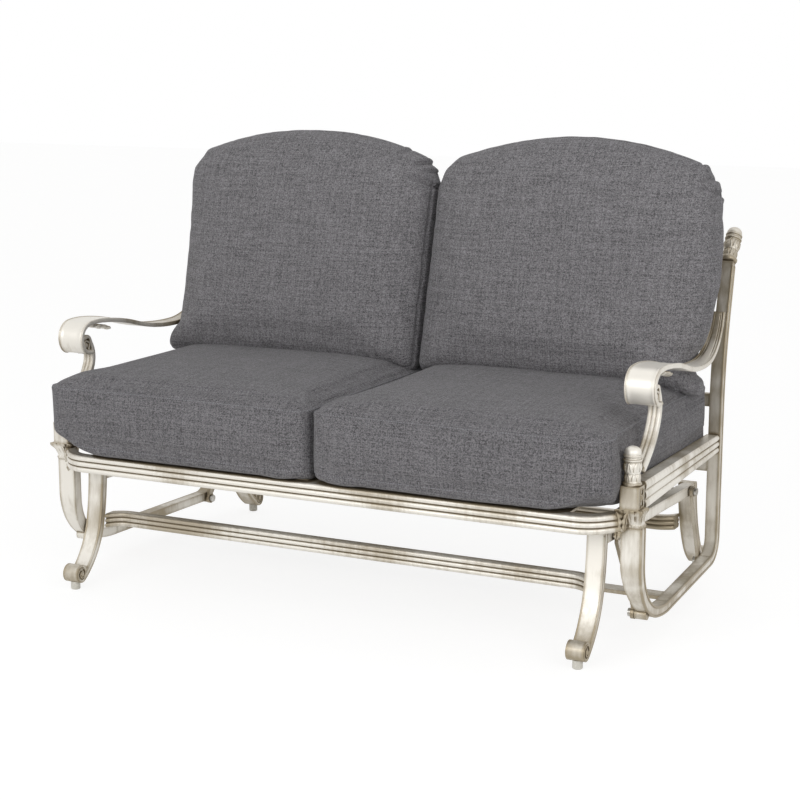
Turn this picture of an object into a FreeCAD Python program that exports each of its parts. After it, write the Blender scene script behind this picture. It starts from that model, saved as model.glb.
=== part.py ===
import FreeCAD, Part
import math
import os

V = FreeCAD.Vector

# The bench faces -Y, +X is its right hand side as seen from the front, and Z is up.
# The origin is on the floor, midway between the four feet. All sizes are in millimetres.

# Width: the seat cushions set it, and the side frames stand just outside them
seat_cushion_width = 682.0
cushion_gap = 3.0
cushion_clearance = 5.5
frame_width = 28.0
front_bar_width = 44.0
frame_toe_in = 21.0
arm_overhang = 13.0
arm_width = 70.0
base_setback = 81.0
leg_width = 40.0

# Base
foot_y = 408.0
scroll_radius = 21.0
scroll_centre_z = 38.0
front_leg_top_z = 267.0
rear_leg_top_z = 241.0
leg_knee_z = 150.0
leg_ankle_z = 76.0
leg_top_y = 306.0
leg_thickness = 18.0
rail_width = 28.0
rail_height = 26.0
glide_radius = 11.0
stretcher_y = 270.0
stretcher_z = 144.0
stretcher_height = 34.0
stretcher_depth = 22.0
stretcher_bend_radius = 70.0
stretcher_bend_angle = 50.0

# Linkage
front_pivot_y = -256.0
rear_pivot_y = 260.0
link_length = 166.0
link_thickness = 8.0
link_width = 16.0
eye_radius = 13.0
bush_wall = 3.0
pin_radius = 5.0
running_fit = 0.05
side_gap = 0.6
bush_proud = 0.4
pin_head_radius = 9.0
pin_head_height = 6.0
pin_tail = 40.0
lug_radius = 12.0
lug_proud = 2.0

# Side frames, which stand closer together at the rear
loop_front_y = -309.0
rear_lug_drop = 5.0
front_bar_thickness = 26.0
front_bar_run = 179.0
bottom_bar_thickness = 22.0
loop_rear_y = 297.0
loop_corner_radius = 49.0
post_bend_z = 430.0
post_lean_rise = 210.0
post_lean_run = 28.0
post_top_y = 356.0
post_top_z = 765.0
finial_length = 90.0
finial_tilt = 36.0

# Front posts, from the loop bar upwards
post_y = -322.0
collar_bottom_z = 289.0
collar_height = 40.0
block_height = 50.0
block_width = 42.0
block_depth = 38.0
cap_height = 83.0
cap_radius = 19.5

# Arms
arm_crest_z = 612.0
arm_dip_z = 562.0
arm_dip_y = 150.0
arm_thickness = 9.0
arm_scroll_radius = 42.0
arm_scroll_y = -250.0
support_thickness = 17.0
support_width = 28.0
support_scroll_radius = 27.0
scroll_turn = 225.0

# Seat frame
apron_front_y = -400.0
apron_top_z = 321.0
apron_height = 40.0
apron_depth = 26.0
apron_bend_radius = 80.0
apron_bend_angle = 50.0
side_rail_front_height = 60.0
side_rail_rear_height = 42.0
side_rail_bottom_z = 323.0
side_rail_width = 31.0
rear_rail_height = 40.0
rear_rail_depth = 20.0
slat_count = 9
slat_width = 44.0
slat_thickness = 5.0
tie_bar_y = -73.0
tie_bar_width = 40.0
tie_bar_height = 16.0

# Back frame
back_rail_height = 30.0
back_rail_depth = 16.0
lower_back_rail_z = 430.0
upper_back_rail_z = 700.0
back_arch_rise = 110.0
spindle_count = 13
spindle_radius = 6.5

# Cushions
seat_cushion_front_y = -427.0
seat_cushion_rear_y = 270.0
seat_border = 166.0
seat_crown = 32.0
seat_crown_run = 200.0
seam_inset = 4.0
border_steps = 6
crown_steps = 6
seat_corner_radius = 42.0
seat_side_swell = 6.0
seat_ear = 14.0
seat_ear_run = 66.0
seat_ear_slant = 26.0
back_cushion_spread = 26.0
arm_clearance = 1.0
back_waist_high = 165.0
back_waist_low = 60.0
back_cushion_height = 582.0
back_cushion_thickness = 190.0
back_cushion_tilt = 15.5
back_cushion_front_y = 54.0
back_shoulder_drop = 108.0
back_corner_radius = 82.0
back_foot_radius = 45.0
back_edge_roll = 110.0
roll_steps = 5

# Sizes that follow from the ones above
front_bar_inner_x = cushion_gap / 2 + seat_cushion_width + cushion_clearance
front_outer_x = front_bar_inner_x + front_bar_width
front_inner_x = front_outer_x - frame_width
rear_outer_x = front_outer_x - frame_toe_in
rear_inner_x = rear_outer_x - frame_width
post_x = front_outer_x - front_bar_width / 2
back_post_x = rear_outer_x - frame_width / 2
leg_outer_x = front_outer_x - base_setback
leg_inner_x = leg_outer_x - leg_width
leg_x = leg_outer_x - leg_width / 2
arm_outer_x = front_outer_x + arm_overhang
arm_inner_x = arm_outer_x - arm_width
arm_rear_inner_x = rear_inner_x - 4
back_cushion_width = seat_cushion_width + back_cushion_spread
block_bottom_z = collar_bottom_z + collar_height
cap_bottom_z = block_bottom_z + block_height
apron_bottom_z = apron_top_z - apron_height
seat_cushion_bottom_z = apron_top_z
back_cushion_bottom_z = seat_cushion_bottom_z + seat_border + seat_crown * 0.6
base_rail_slope = (rear_leg_top_z - front_leg_top_z) / (2 * leg_top_y)
link_setback = lug_proud + side_gap + bush_proud + link_thickness
link_top_x = leg_outer_x + side_gap + bush_proud + pin_head_height / 3
bush_radius = pin_radius + bush_wall


def base_rail_z(y):
    """The middle of the base side rails, which slope down to the rear."""
    return front_leg_top_z + base_rail_slope * (y + leg_top_y) - rail_height / 2


# Where each link hangs: the Y and Z of its upper pivot and the X of its inner face at the bottom
front_place = (front_pivot_y, base_rail_z(front_pivot_y), front_inner_x - link_setback)
rear_place = (rear_pivot_y, base_rail_z(rear_pivot_y), rear_inner_x - link_setback)

# The loops reach down as far as the links do
loop_bottom_z = base_rail_z(rear_pivot_y) - link_length + rear_lug_drop


def turned(point, angle, distance):
    """The point moved sideways, to the left of a line that runs in the given direction."""
    y, z = point
    return V(0, y - distance * math.sin(angle), z + distance * math.cos(angle))


def curve(start, middle, end):
    """An arc through three points, or a line where they are in line."""
    if abs((middle - start).cross(end - middle).Length) < 1e-3:
        return Part.LineSegment(start, end).toShape()
    return Part.Arc(start, middle, end).toShape()


def bar_face(points, heading, widths):
    """A flat bar in the YZ plane whose centre line runs through the points on tangent arcs."""
    left_side = []
    right_side = []
    direction = math.radians(heading)
    for index in range(len(points) - 1):
        (y0, z0), (y1, z1) = points[index], points[index + 1]
        chord = math.atan2(z1 - z0, y1 - y0)
        half_turn = math.remainder(chord - direction, 2 * math.pi)
        arrival = chord + half_turn
        rise = math.hypot(y1 - y0, z1 - z0) / 2 * math.tan(half_turn / 2)
        middle = ((y0 + y1) / 2 + rise * math.sin(chord), (z0 + z1) / 2 - rise * math.cos(chord))
        half_start = widths[index] / 2
        half_end = widths[index + 1] / 2
        half_middle = (half_start + half_end) / 2
        for side, edges in ((1, left_side), (-1, right_side)):
            start_point = turned((y0, z0), direction, side * half_start)
            middle_point = turned(middle, chord, side * half_middle)
            end_point = turned((y1, z1), arrival, side * half_end)
            edges.append(curve(start_point, middle_point, end_point))
        direction = arrival
    first_left = left_side[0].valueAt(left_side[0].FirstParameter)
    first_right = right_side[0].valueAt(right_side[0].FirstParameter)
    last_left = left_side[-1].valueAt(left_side[-1].LastParameter)
    last_right = right_side[-1].valueAt(right_side[-1].LastParameter)
    caps = [
        Part.LineSegment(last_left, last_right).toShape(),
        Part.LineSegment(first_right, first_left).toShape(),
    ]
    return Part.Face(Part.Wire(Part.__sortEdges__(left_side + right_side + caps)))


def bar(points, heading, widths, x_low, x_high):
    """A curved flat bar of constant width in X."""
    face = bar_face(points, heading, widths)
    face.translate(V(x_low, 0, 0))
    return face.extrude(V(x_high - x_low, 0, 0))


def box(x_low, x_high, y_low, y_high, z_low, z_high):
    return Part.makeBox(x_high - x_low, y_high - y_low, z_high - z_low, V(x_low, y_low, z_low))


def cylinder_x(radius, x_low, x_high, y, z):
    return Part.makeCylinder(radius, x_high - x_low, V(x_low, y, z), V(1, 0, 0))


def to_left(shape):
    return shape.mirror(V(0, 0, 0), V(1, 0, 0))


def to_rear(shape):
    return shape.mirror(V(0, 0, 0), V(0, 1, 0))


def rounded(shape, radius, keep_edge):
    """Fillet the edges that the test picks."""
    return shape.makeFillet(radius, [edge for edge in shape.Edges if keep_edge(edge)])


def group(solids):
    return Part.makeCompound(solids)


def reeded_face(depth, height, reeds, groove_depth, back_y, bottom_z):
    """A section in the YZ plane with reeds on its -Y face, flat at the back, top and bottom."""
    front_y = back_y - depth
    reed_height = height / reeds
    edges = [
        Part.LineSegment(V(0, front_y + groove_depth, bottom_z), V(0, back_y, bottom_z)).toShape(),
        Part.LineSegment(V(0, back_y, bottom_z), V(0, back_y, bottom_z + height)).toShape(),
        Part.LineSegment(
            V(0, back_y, bottom_z + height), V(0, front_y + groove_depth, bottom_z + height)
        ).toShape(),
    ]
    for index in range(reeds):
        low = bottom_z + index * reed_height
        edges.append(
            Part.Arc(
                V(0, front_y + groove_depth, low),
                V(0, front_y, low + reed_height / 2),
                V(0, front_y + groove_depth, low + reed_height),
            ).toShape()
        )
    return Part.Face(Part.Wire(Part.__sortEdges__(edges)))


def reeded_rail(front_y, depth, height, bottom_z, bend_radius, bend_angle, end_x, turn, reeds):
    """A rail along X whose ends bend backwards (turn 1) or forwards (turn -1)."""
    groove = depth / 6
    face = reeded_face(depth, height, reeds, groove, front_y + depth, bottom_z)
    angle = math.radians(bend_angle)
    centre_y = front_y + bend_radius if turn > 0 else front_y + depth - bend_radius
    radius_to_middle = abs(centre_y - (front_y + depth / 2))
    bend_length = radius_to_middle * math.sin(angle)
    straight_end_x = end_x - bend_length - depth
    straight = face.copy()
    straight.translate(V(-straight_end_x, 0, 0))
    straight = straight.extrude(V(2 * straight_end_x, 0, 0))
    pieces = [straight]
    for side in (1, -1):
        section = face.copy()
        section.translate(V(side * straight_end_x, 0, 0))
        centre = V(side * straight_end_x, centre_y, 0)
        swing = side * turn * bend_angle
        pieces.append(section.copy().revolve(centre, V(0, 0, 1), swing))
        end_face = section.copy()
        end_face.rotate(centre, V(0, 0, 1), swing)
        run = V(side * math.cos(angle), turn * math.sin(angle), 0)
        pieces.append(end_face.extrude(run * (depth / math.cos(angle) * 1.2)))
    return pieces[0].fuse(pieces[1:]).removeSplitter()


def leg(top_z):
    """A scroll leg, front right, with its volute cut into both sides."""
    points = [
        (-leg_top_y, top_z),
        (-leg_top_y - 14, leg_knee_z),
        (-leg_top_y - 46, leg_ankle_z),
        (-foot_y + 8, scroll_centre_z - 12),
    ]
    widths = [leg_thickness, leg_thickness - 1, leg_thickness - 2, leg_thickness - 5]
    shape = bar(points, -92, widths, leg_inner_x, leg_outer_x)
    scroll = cylinder_x(scroll_radius, leg_inner_x, leg_outer_x, -foot_y, scroll_centre_z)
    shape = shape.fuse(scroll).removeSplitter()
    recess_depth = 1.6
    for x_low in (leg_inner_x, leg_outer_x - recess_depth):
        x_high = x_low + recess_depth
        recess = cylinder_x(scroll_radius * 0.66, x_low, x_high, -foot_y, scroll_centre_z)
        eye = cylinder_x(scroll_radius * 0.36, x_low, x_high, -foot_y, scroll_centre_z)
        shape = shape.cut(recess.cut(eye))
    return shape


def base_rail():
    """The bar on the right that joins a front leg to a rear leg and carries the upper pivots."""
    half_length = leg_top_y - leg_thickness / 2
    half_height = rail_height / 2
    inner_x = leg_outer_x - rail_width
    corners = [
        V(inner_x, -half_length, base_rail_z(-half_length) - half_height),
        V(inner_x, half_length, base_rail_z(half_length) - half_height),
        V(inner_x, half_length, base_rail_z(half_length) + half_height),
        V(inner_x, -half_length, base_rail_z(-half_length) + half_height),
    ]
    shape = Part.Face(Part.makePolygon(corners + corners[:1])).extrude(V(rail_width, 0, 0))
    return rounded(shape, 3, lambda edge: edge.BoundBox.YLength > half_length)


def glide():
    """The pad under one foot, front right, which reaches up into the scroll."""
    flat = scroll_centre_z - scroll_radius
    pad = Part.makeCylinder(glide_radius, flat + 2, V(leg_x, -foot_y, 0))
    edge = [item for item in pad.Edges if item.BoundBox.ZMax < 0.1]
    return pad.makeChamfer(1.5, edge)


def stretcher():
    """The front reeded stretcher, with ends that bend forward to the legs."""
    return reeded_rail(
        -stretcher_y - stretcher_depth / 2,
        stretcher_depth,
        stretcher_height,
        stretcher_z - stretcher_height / 2,
        stretcher_bend_radius,
        stretcher_bend_angle,
        leg_inner_x + leg_width / 2,
        -1,
        3,
    )


def between_legs():
    """The space between the inner faces of the legs, for trimming the stretchers."""
    return box(-leg_inner_x, leg_inner_x, -2 * foot_y, 2 * foot_y, 0, front_leg_top_z)


def link(place):
    """A swing link on the right, slanted outwards on its way down."""
    pivot_y, upper_z, low_x = place
    lower_z = upper_z - link_length
    straight = eye_radius + 4
    outline = [
        V(link_top_x, 0, upper_z),
        V(link_top_x + link_thickness, 0, upper_z),
        V(link_top_x + link_thickness, 0, upper_z - straight),
        V(low_x + link_thickness, 0, lower_z + straight),
        V(low_x + link_thickness, 0, lower_z),
        V(low_x, 0, lower_z),
        V(low_x, 0, lower_z + straight),
        V(link_top_x, 0, upper_z - straight),
    ]
    face = Part.Face(Part.makePolygon(outline + outline[:1]))
    face.translate(V(0, pivot_y - link_width / 2, 0))
    shape = face.extrude(V(0, link_width, 0))
    for x, z in ((link_top_x, upper_z), (low_x, lower_z)):
        shape = shape.fuse(cylinder_x(eye_radius, x, x + link_thickness, pivot_y, z))
    for x, z in ((link_top_x, upper_z), (low_x, lower_z)):
        shape = shape.cut(cylinder_x(bush_radius, x, x + link_thickness, pivot_y, z))
    return shape.removeSplitter()


def link_bushes(place):
    """The two bearing bushes of a link."""
    pivot_y, upper_z, low_x = place
    bushes = []
    for x, z in ((link_top_x, upper_z), (low_x, upper_z - link_length)):
        x_low = x - bush_proud
        x_high = x + link_thickness + bush_proud
        outer = cylinder_x(bush_radius, x_low, x_high, pivot_y, z)
        bore = cylinder_x(pin_radius + running_fit, x_low, x_high, pivot_y, z)
        bushes.append(outer.cut(bore))
    return group(bushes)


def upper_pin(place):
    """A pivot bolt through the base rail: head outside the link, nut and thread inside."""
    pivot_y, z = place[:2]
    washer_x = link_top_x - bush_proud - side_gap
    head_x = link_top_x + link_thickness + bush_proud + side_gap
    rail_inner_x = leg_outer_x - rail_width
    pieces = [
        cylinder_x(pin_radius, rail_inner_x - pin_tail, head_x, pivot_y, z),
        cylinder_x(pin_head_radius, head_x, head_x + pin_head_height, pivot_y, z),
        cylinder_x(pin_head_radius, leg_outer_x, washer_x, pivot_y, z),
        cylinder_x(pin_head_radius, rail_inner_x - pin_head_height, rail_inner_x, pivot_y, z),
    ]
    return pieces[0].fuse(pieces[1:]).removeSplitter()


def lower_pin(place):
    """A pivot bolt screwed into the lug of the loop, with its head inside the link."""
    pivot_y, upper_z, low_x = place
    z = upper_z - link_length
    head_x = low_x - bush_proud - side_gap
    end_x = low_x + link_setback + frame_width - 6
    shank = cylinder_x(pin_radius, head_x, end_x, pivot_y, z)
    head = cylinder_x(pin_head_radius, head_x - pin_head_height, head_x, pivot_y, z)
    return shank.fuse(head).removeSplitter()


def with_lug(shape, place, reach_y, reach_z):
    """A loop bar with the round lug that takes a lower pivot bolt, and a web back to the bar."""
    pivot_y, upper_z, low_x = place
    z = upper_z - link_length
    inner_x = low_x + link_setback
    outer_x = inner_x + frame_width - 4
    lug = cylinder_x(lug_radius, inner_x - lug_proud, outer_x, pivot_y, z)
    heading = math.degrees(math.atan2(reach_z, reach_y))
    ends = [(pivot_y, z), (pivot_y + reach_y, z + reach_z)]
    web = bar(ends, heading, [lug_radius * 1.8, lug_radius * 1.8], inner_x, outer_x)
    return shape.fuse([lug, web]).cut(lower_pin(place)).removeSplitter()


def front_loop_bar():
    """The wide front bar of the right loop, which narrows as it curves into the bottom bar."""
    points = [
        (loop_front_y, collar_bottom_z),
        (loop_front_y, collar_bottom_z - 81),
        (loop_front_y + 51, loop_bottom_z + 35),
        (loop_front_y + 109, loop_bottom_z + 7.7),
        (loop_front_y + front_bar_run, loop_bottom_z),
    ]
    thick = front_bar_thickness
    widths = [thick, thick, thick, thick - 2, bottom_bar_thickness]
    shape = bar(points, -90, widths, front_bar_inner_x, front_outer_x)
    taper_top = collar_bottom_z - 90
    taper_bottom = loop_bottom_z + 38
    middle_z = (taper_top + taper_bottom) / 2
    middle_x = (front_bar_inner_x + front_inner_x) / 2 - 2
    inner_edge = [
        Part.LineSegment(V(front_bar_inner_x, 0, collar_bottom_z), V(front_bar_inner_x, 0, taper_top)),
        Part.Arc(
            V(front_bar_inner_x, 0, taper_top), V(middle_x, 0, middle_z), V(front_inner_x, 0, taper_bottom)
        ),
        Part.LineSegment(V(front_inner_x, 0, taper_bottom), V(front_inner_x, 0, 0)),
        Part.LineSegment(V(front_inner_x, 0, 0), V(front_outer_x, 0, 0)),
        Part.LineSegment(V(front_outer_x, 0, 0), V(front_outer_x, 0, collar_bottom_z)),
        Part.LineSegment(V(front_outer_x, 0, collar_bottom_z), V(front_bar_inner_x, 0, collar_bottom_z)),
    ]
    front_view = Part.Face(Part.Wire([edge.toShape() for edge in inner_edge]))
    front_view.translate(V(0, loop_front_y - thick * 2, 0))
    shape = shape.common(front_view.extrude(V(0, front_bar_run * 2, 0)))
    return with_lug(shape, front_place, 9, 14)


def bottom_loop_bar():
    """The straight bar along the bottom of the right loop, which runs inwards to the rear."""
    low = loop_bottom_z - bottom_bar_thickness / 2
    front_y = loop_front_y + front_bar_run
    rear_y = loop_rear_y - loop_corner_radius
    corners = [
        V(front_inner_x, front_y, low),
        V(front_outer_x, front_y, low),
        V(rear_outer_x, rear_y, low),
        V(rear_inner_x, rear_y, low),
    ]
    return Part.Face(Part.makePolygon(corners + corners[:1])).extrude(V(0, 0, bottom_bar_thickness))


def back_post():
    """The rear bar of the right loop, which goes on up as the back post."""
    points = [
        (loop_rear_y - loop_corner_radius, loop_bottom_z),
        (loop_rear_y, loop_bottom_z + loop_corner_radius),
        (loop_rear_y + 2, post_bend_z),
        (loop_rear_y + post_lean_run, post_bend_z + post_lean_rise),
        (post_top_y, post_top_z),
    ]
    widths = [bottom_bar_thickness] * len(points)
    shape = bar(points, 0, widths, rear_inner_x, rear_outer_x)
    return with_lug(shape, rear_place, -8, 4)


def turned_solid(profile, base, tilt):
    """A solid of revolution from (radius, height) points, standing on base and tilted to +Y."""
    points = [V(radius, 0, height) for radius, height in profile]
    outline = [V(0, 0, profile[0][1])] + points + [V(0, 0, profile[-1][1])]
    face = Part.Face(Part.makePolygon(outline + outline[:1]))
    shape = face.revolve(V(0, 0, 0), V(0, 0, 1), 360)
    shape.rotate(V(0, 0, 0), V(1, 0, 0), -tilt)
    shape.translate(base)
    return shape


def finial():
    """The leaf vase and dome on top of the right back post."""
    length = finial_length
    radius = cap_radius
    profile = [
        (radius * 0.62, 0),
        (radius * 0.62, length * 0.05),
        (radius * 0.80, length * 0.09),
        (radius * 0.80, length * 0.13),
        (radius * 0.64, length * 0.17),
        (radius * 0.78, length * 0.27),
        (radius * 0.98, length * 0.42),
        (radius * 1.02, length * 0.52),
        (radius * 0.90, length * 0.57),
        (radius * 1.00, length * 0.60),
        (radius * 1.00, length * 0.65),
        (radius * 0.88, length * 0.68),
        (radius * 0.90, length * 0.78),
        (radius * 0.80, length * 0.88),
        (radius * 0.55, length * 0.96),
        (radius * 0.22, length),
    ]
    return turned_solid(profile, V(back_post_x, post_top_y, post_top_z), finial_tilt)


def post_block():
    """The square block of the right front post, with a sunk panel on its front and outer side."""
    x_low = post_x - block_width / 2
    x_high = post_x + block_width / 2
    y_low = post_y - block_depth / 2
    y_high = post_y + block_depth / 2
    shape = box(x_low, x_high, y_low, y_high, block_bottom_z, cap_bottom_z)
    shape = rounded(shape, 3, lambda edge: edge.BoundBox.ZLength > block_height / 2)
    border = 8
    sink = 1.5
    panel = box(
        x_high - sink, x_high, y_low + border, y_high - border, block_bottom_z + border, cap_bottom_z - border
    )
    return shape.cut(panel)


def post_collar():
    """The leaf collar under the block, drawn in to the width of the loop bar."""
    sections = []
    for width, depth, height in ((0, 0, 0), (8, 10, 0.35), (6, 8, 0.7), (-4, 4, 1)):
        half_x = (front_bar_width + width) / 2
        half_y = (front_bar_thickness + depth) / 2
        centre_y = loop_front_y + (post_y - loop_front_y) * height
        z = collar_bottom_z + collar_height * height
        corners = [
            V(post_x - half_x, centre_y - half_y, z),
            V(post_x + half_x, centre_y - half_y, z),
            V(post_x + half_x, centre_y + half_y, z),
            V(post_x - half_x, centre_y + half_y, z),
        ]
        sections.append(Part.makePolygon(corners + corners[:1]))
    return Part.makeLoft(sections, True, True)


def post_cap():
    """The turned vase and dome on the right front post."""
    radius = cap_radius
    height = cap_height
    profile = [
        (radius * 0.95, 0),
        (radius * 1.02, height * 0.04),
        (radius * 1.02, height * 0.09),
        (radius * 0.82, height * 0.14),
        (radius * 0.82, height * 0.26),
        (radius * 0.96, height * 0.32),
        (radius * 1.02, height * 0.50),
        (radius * 0.90, height * 0.62),
        (radius * 1.00, height * 0.66),
        (radius * 1.00, height * 0.71),
        (radius * 0.88, height * 0.75),
        (radius * 0.98, height * 0.79),
        (radius * 0.98, height * 0.83),
        (radius * 0.82, height * 0.92),
        (radius * 0.52, height * 0.98),
        (radius * 0.15, height),
    ]
    return turned_solid(profile, V(post_x, post_y, cap_bottom_z), 0)


def spiral_points(centre_y, centre_z, start_radius, end_radius, start_angle, sweep, steps):
    """Points on a spiral whose radius shrinks evenly with the angle."""
    points = []
    for index in range(1, steps + 1):
        share = index / steps
        angle = math.radians(start_angle + sweep * share)
        radius = start_radius + (end_radius - start_radius) * share
        points.append((centre_y + radius * math.cos(angle), centre_z + radius * math.sin(angle)))
    return points


def armrest():
    """The right armrest band, from the back post forward to its scroll."""
    half = arm_thickness / 2
    scroll_centre_z = arm_crest_z - arm_scroll_radius
    radius = arm_scroll_radius - half
    rear_y = loop_rear_y - bottom_bar_thickness / 2 + 4
    points = [
        (rear_y, arm_dip_z + 93),
        (rear_y - 67, arm_dip_z + 13),
        (arm_dip_y, arm_dip_z - half),
        (-60, arm_dip_z + 25 - half),
        (arm_scroll_y + 50, arm_crest_z - half),
        (arm_scroll_y, arm_crest_z - half - 0.1),
    ]
    end_radius = radius * 0.82
    points = points + spiral_points(arm_scroll_y, scroll_centre_z, radius, end_radius, 90, scroll_turn, 5)
    widths = [arm_thickness] * 6 + [arm_thickness] * 3 + [arm_thickness * 0.9, arm_thickness * 0.7]
    band = bar(points, -105, widths, arm_inner_x, arm_outer_x)
    narrow_y = 60
    wide_y = arm_scroll_y + 110
    front_y = arm_scroll_y - arm_scroll_radius * 2
    inner_middle = (arm_inner_x + rear_inner_x) / 2
    outer_middle = (arm_outer_x + rear_outer_x) / 2
    rear_y = loop_rear_y + 20
    wide_inner = V(arm_inner_x, wide_y, 0)
    narrow_inner = V(arm_rear_inner_x, arm_dip_y, 0)
    outline = [
        Part.LineSegment(V(arm_inner_x, front_y, 0), wide_inner),
        Part.Arc(wide_inner, V(inner_middle - 3, narrow_y - 50, 0), narrow_inner),
        Part.LineSegment(narrow_inner, V(rear_inner_x, rear_y, 0)),
        Part.LineSegment(V(rear_inner_x, rear_y, 0), V(rear_outer_x, rear_y, 0)),
        Part.Arc(V(rear_outer_x, rear_y, 0), V(outer_middle + 2, narrow_y, 0), V(arm_outer_x, wide_y, 0)),
        Part.LineSegment(V(arm_outer_x, wide_y, 0), V(arm_outer_x, front_y, 0)),
        Part.LineSegment(V(arm_outer_x, front_y, 0), V(arm_inner_x, front_y, 0)),
    ]
    plan = Part.Face(Part.Wire([edge.toShape() for edge in outline]))
    plan.translate(V(0, 0, arm_dip_z - arm_scroll_radius * 4))
    return band.common(plan.extrude(V(0, 0, arm_scroll_radius * 8)))


def arm_support():
    """The S-curved support of the right armrest, with a small volute at its top."""
    scroll_y = arm_scroll_y + 14
    scroll_z = arm_crest_z - arm_scroll_radius - 20
    radius = support_scroll_radius - support_thickness / 4
    foot_z = cap_bottom_z + 30
    points = [
        (post_y + 19, foot_z),
        (post_y + 66, foot_z + 32),
        (scroll_y + radius + 2, scroll_z - 52),
        (scroll_y + radius, scroll_z),
    ]
    points = points + spiral_points(scroll_y, scroll_z, radius, radius * 0.5, 0, scroll_turn, 5)
    thick = support_thickness
    widths = [thick, thick, thick * 0.9, thick * 0.75]
    widths = widths + [thick * 0.6, thick * 0.55, thick * 0.5, thick * 0.45, thick * 0.4]
    x_low = post_x - 8
    return bar(points, 30, widths, x_low, x_low + support_width)


def side_rail():
    """The right reeded seat side rail, taller at the front than at the rear."""
    y_front = loop_front_y + front_bar_thickness / 2
    y_rear = loop_rear_y - bottom_bar_thickness / 2
    sections = []
    ends = (
        (y_front, side_rail_front_height, front_outer_x),
        (y_rear, side_rail_rear_height, rear_outer_x),
    )
    for y, height, outer in ends:
        inner = outer - side_rail_width
        bottom = side_rail_bottom_z
        reed = height / 3
        groove = 4
        edges = [
            Part.LineSegment(V(outer - groove, y, bottom), V(inner, y, bottom)),
            Part.LineSegment(V(inner, y, bottom), V(inner, y, bottom + height)),
            Part.LineSegment(V(inner, y, bottom + height), V(outer - groove, y, bottom + height)),
        ]
        for index in (2, 1, 0):
            low = bottom + index * reed
            edges.append(
                Part.Arc(
                    V(outer - groove, y, low + reed), V(outer, y, low + reed / 2), V(outer - groove, y, low)
                )
            )
        sections.append(Part.Wire([edge.toShape() for edge in edges]))
    return Part.makeLoft(sections, True, True)


def apron():
    """The reeded front apron, with ends that bend back to the front posts."""
    rail = reeded_rail(
        apron_front_y,
        apron_depth,
        apron_height,
        apron_bottom_z,
        apron_bend_radius,
        apron_bend_angle,
        front_bar_inner_x - 2,
        1,
        3,
    )
    between_posts = box(-post_x, post_x, apron_front_y, 0, apron_bottom_z, apron_top_z)
    return rail.common(between_posts)


def rear_rail():
    """The plain rail across the back of the seat."""
    return box(
        -rear_inner_x,
        rear_inner_x,
        loop_rear_y - rear_rail_depth / 2,
        loop_rear_y + rear_rail_depth / 2,
        apron_top_z - slat_thickness - rear_rail_height,
        apron_top_z - slat_thickness,
    )


def seat_slats():
    """Flat slats from the apron to the rear rail, level with the top of the apron."""
    pitch = 2 * (front_bar_inner_x - slat_width) / slat_count
    y_low = apron_front_y + apron_depth
    y_high = loop_rear_y + rear_rail_depth / 2
    slats = []
    for index in range(slat_count):
        centre = (index - (slat_count - 1) / 2) * pitch
        slats.append(
            box(
                centre - slat_width / 2,
                centre + slat_width / 2,
                y_low,
                y_high,
                apron_top_z - slat_thickness,
                apron_top_z,
            )
        )
    return group(slats)


def tie_bar():
    """The flat bar that ties the two loops together near the floor."""
    return box(
        -front_inner_x,
        front_inner_x,
        tie_bar_y - tie_bar_width / 2,
        tie_bar_y + tie_bar_width / 2,
        loop_bottom_z,
        loop_bottom_z + tie_bar_height / 2,
    )


def back_line_y(z):
    """The centre of the back posts at a height, above the seat."""
    share = (z - post_bend_z) / (post_top_z - post_bend_z)
    start_y = loop_rear_y + 2
    return start_y + (post_top_y - start_y) * share ** 1.5


def lower_back_rail():
    y = back_line_y(lower_back_rail_z + back_rail_height / 2)
    return box(
        -rear_inner_x,
        rear_inner_x,
        y - back_rail_depth / 2,
        y + back_rail_depth / 2,
        lower_back_rail_z,
        lower_back_rail_z + back_rail_height,
    )


def back_plane_tilt():
    """The lean of the back frame, in degrees, from the lower rail to the foot of the arch."""
    low_z = lower_back_rail_z + back_rail_height / 2
    run = back_line_y(upper_back_rail_z) - back_line_y(low_z)
    return math.degrees(math.atan2(run, upper_back_rail_z - low_z))


def arched_back_rail():
    """The arched top rail between the back posts, made flat and leaned back."""
    half = rear_inner_x + 1
    rise = back_arch_rise
    lower = Part.Arc(V(-half, 0, 0), V(0, 0, rise), V(half, 0, 0)).toShape()
    upper = Part.Arc(
        V(-half, 0, back_rail_height), V(0, 0, rise + back_rail_height), V(half, 0, back_rail_height)
    ).toShape()
    ends = [
        Part.LineSegment(V(-half, 0, 0), V(-half, 0, back_rail_height)).toShape(),
        Part.LineSegment(V(half, 0, 0), V(half, 0, back_rail_height)).toShape(),
    ]
    face = Part.Face(Part.Wire(Part.__sortEdges__([lower, upper] + ends)))
    face.translate(V(0, -back_rail_depth / 2, 0))
    shape = face.extrude(V(0, back_rail_depth, 0))
    shape.rotate(V(0, 0, 0), V(1, 0, 0), -back_plane_tilt())
    shape.translate(V(0, back_line_y(upper_back_rail_z), upper_back_rail_z))
    return shape


def back_spindles(rails):
    """Upright round bars between the two back rails."""
    pitch = 2 * rear_inner_x / (spindle_count + 1)
    lean = math.radians(back_plane_tilt())
    low = V(0, back_line_y(lower_back_rail_z + back_rail_height / 2), lower_back_rail_z)
    length = upper_back_rail_z + back_arch_rise - lower_back_rail_z
    spindles = []
    for index in range(spindle_count):
        x = (index - (spindle_count - 1) / 2) * pitch
        sag = back_arch_rise * (x / rear_inner_x) ** 2
        start = low + V(x, 0, back_rail_height / 2)
        run = V(0, math.sin(lean), math.cos(lean))
        bar_length = (length - sag) / math.cos(lean)
        spindles.append(Part.makeCylinder(spindle_radius, bar_length, start, run))
    return group([spindle.cut(rails) for spindle in spindles])


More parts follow.
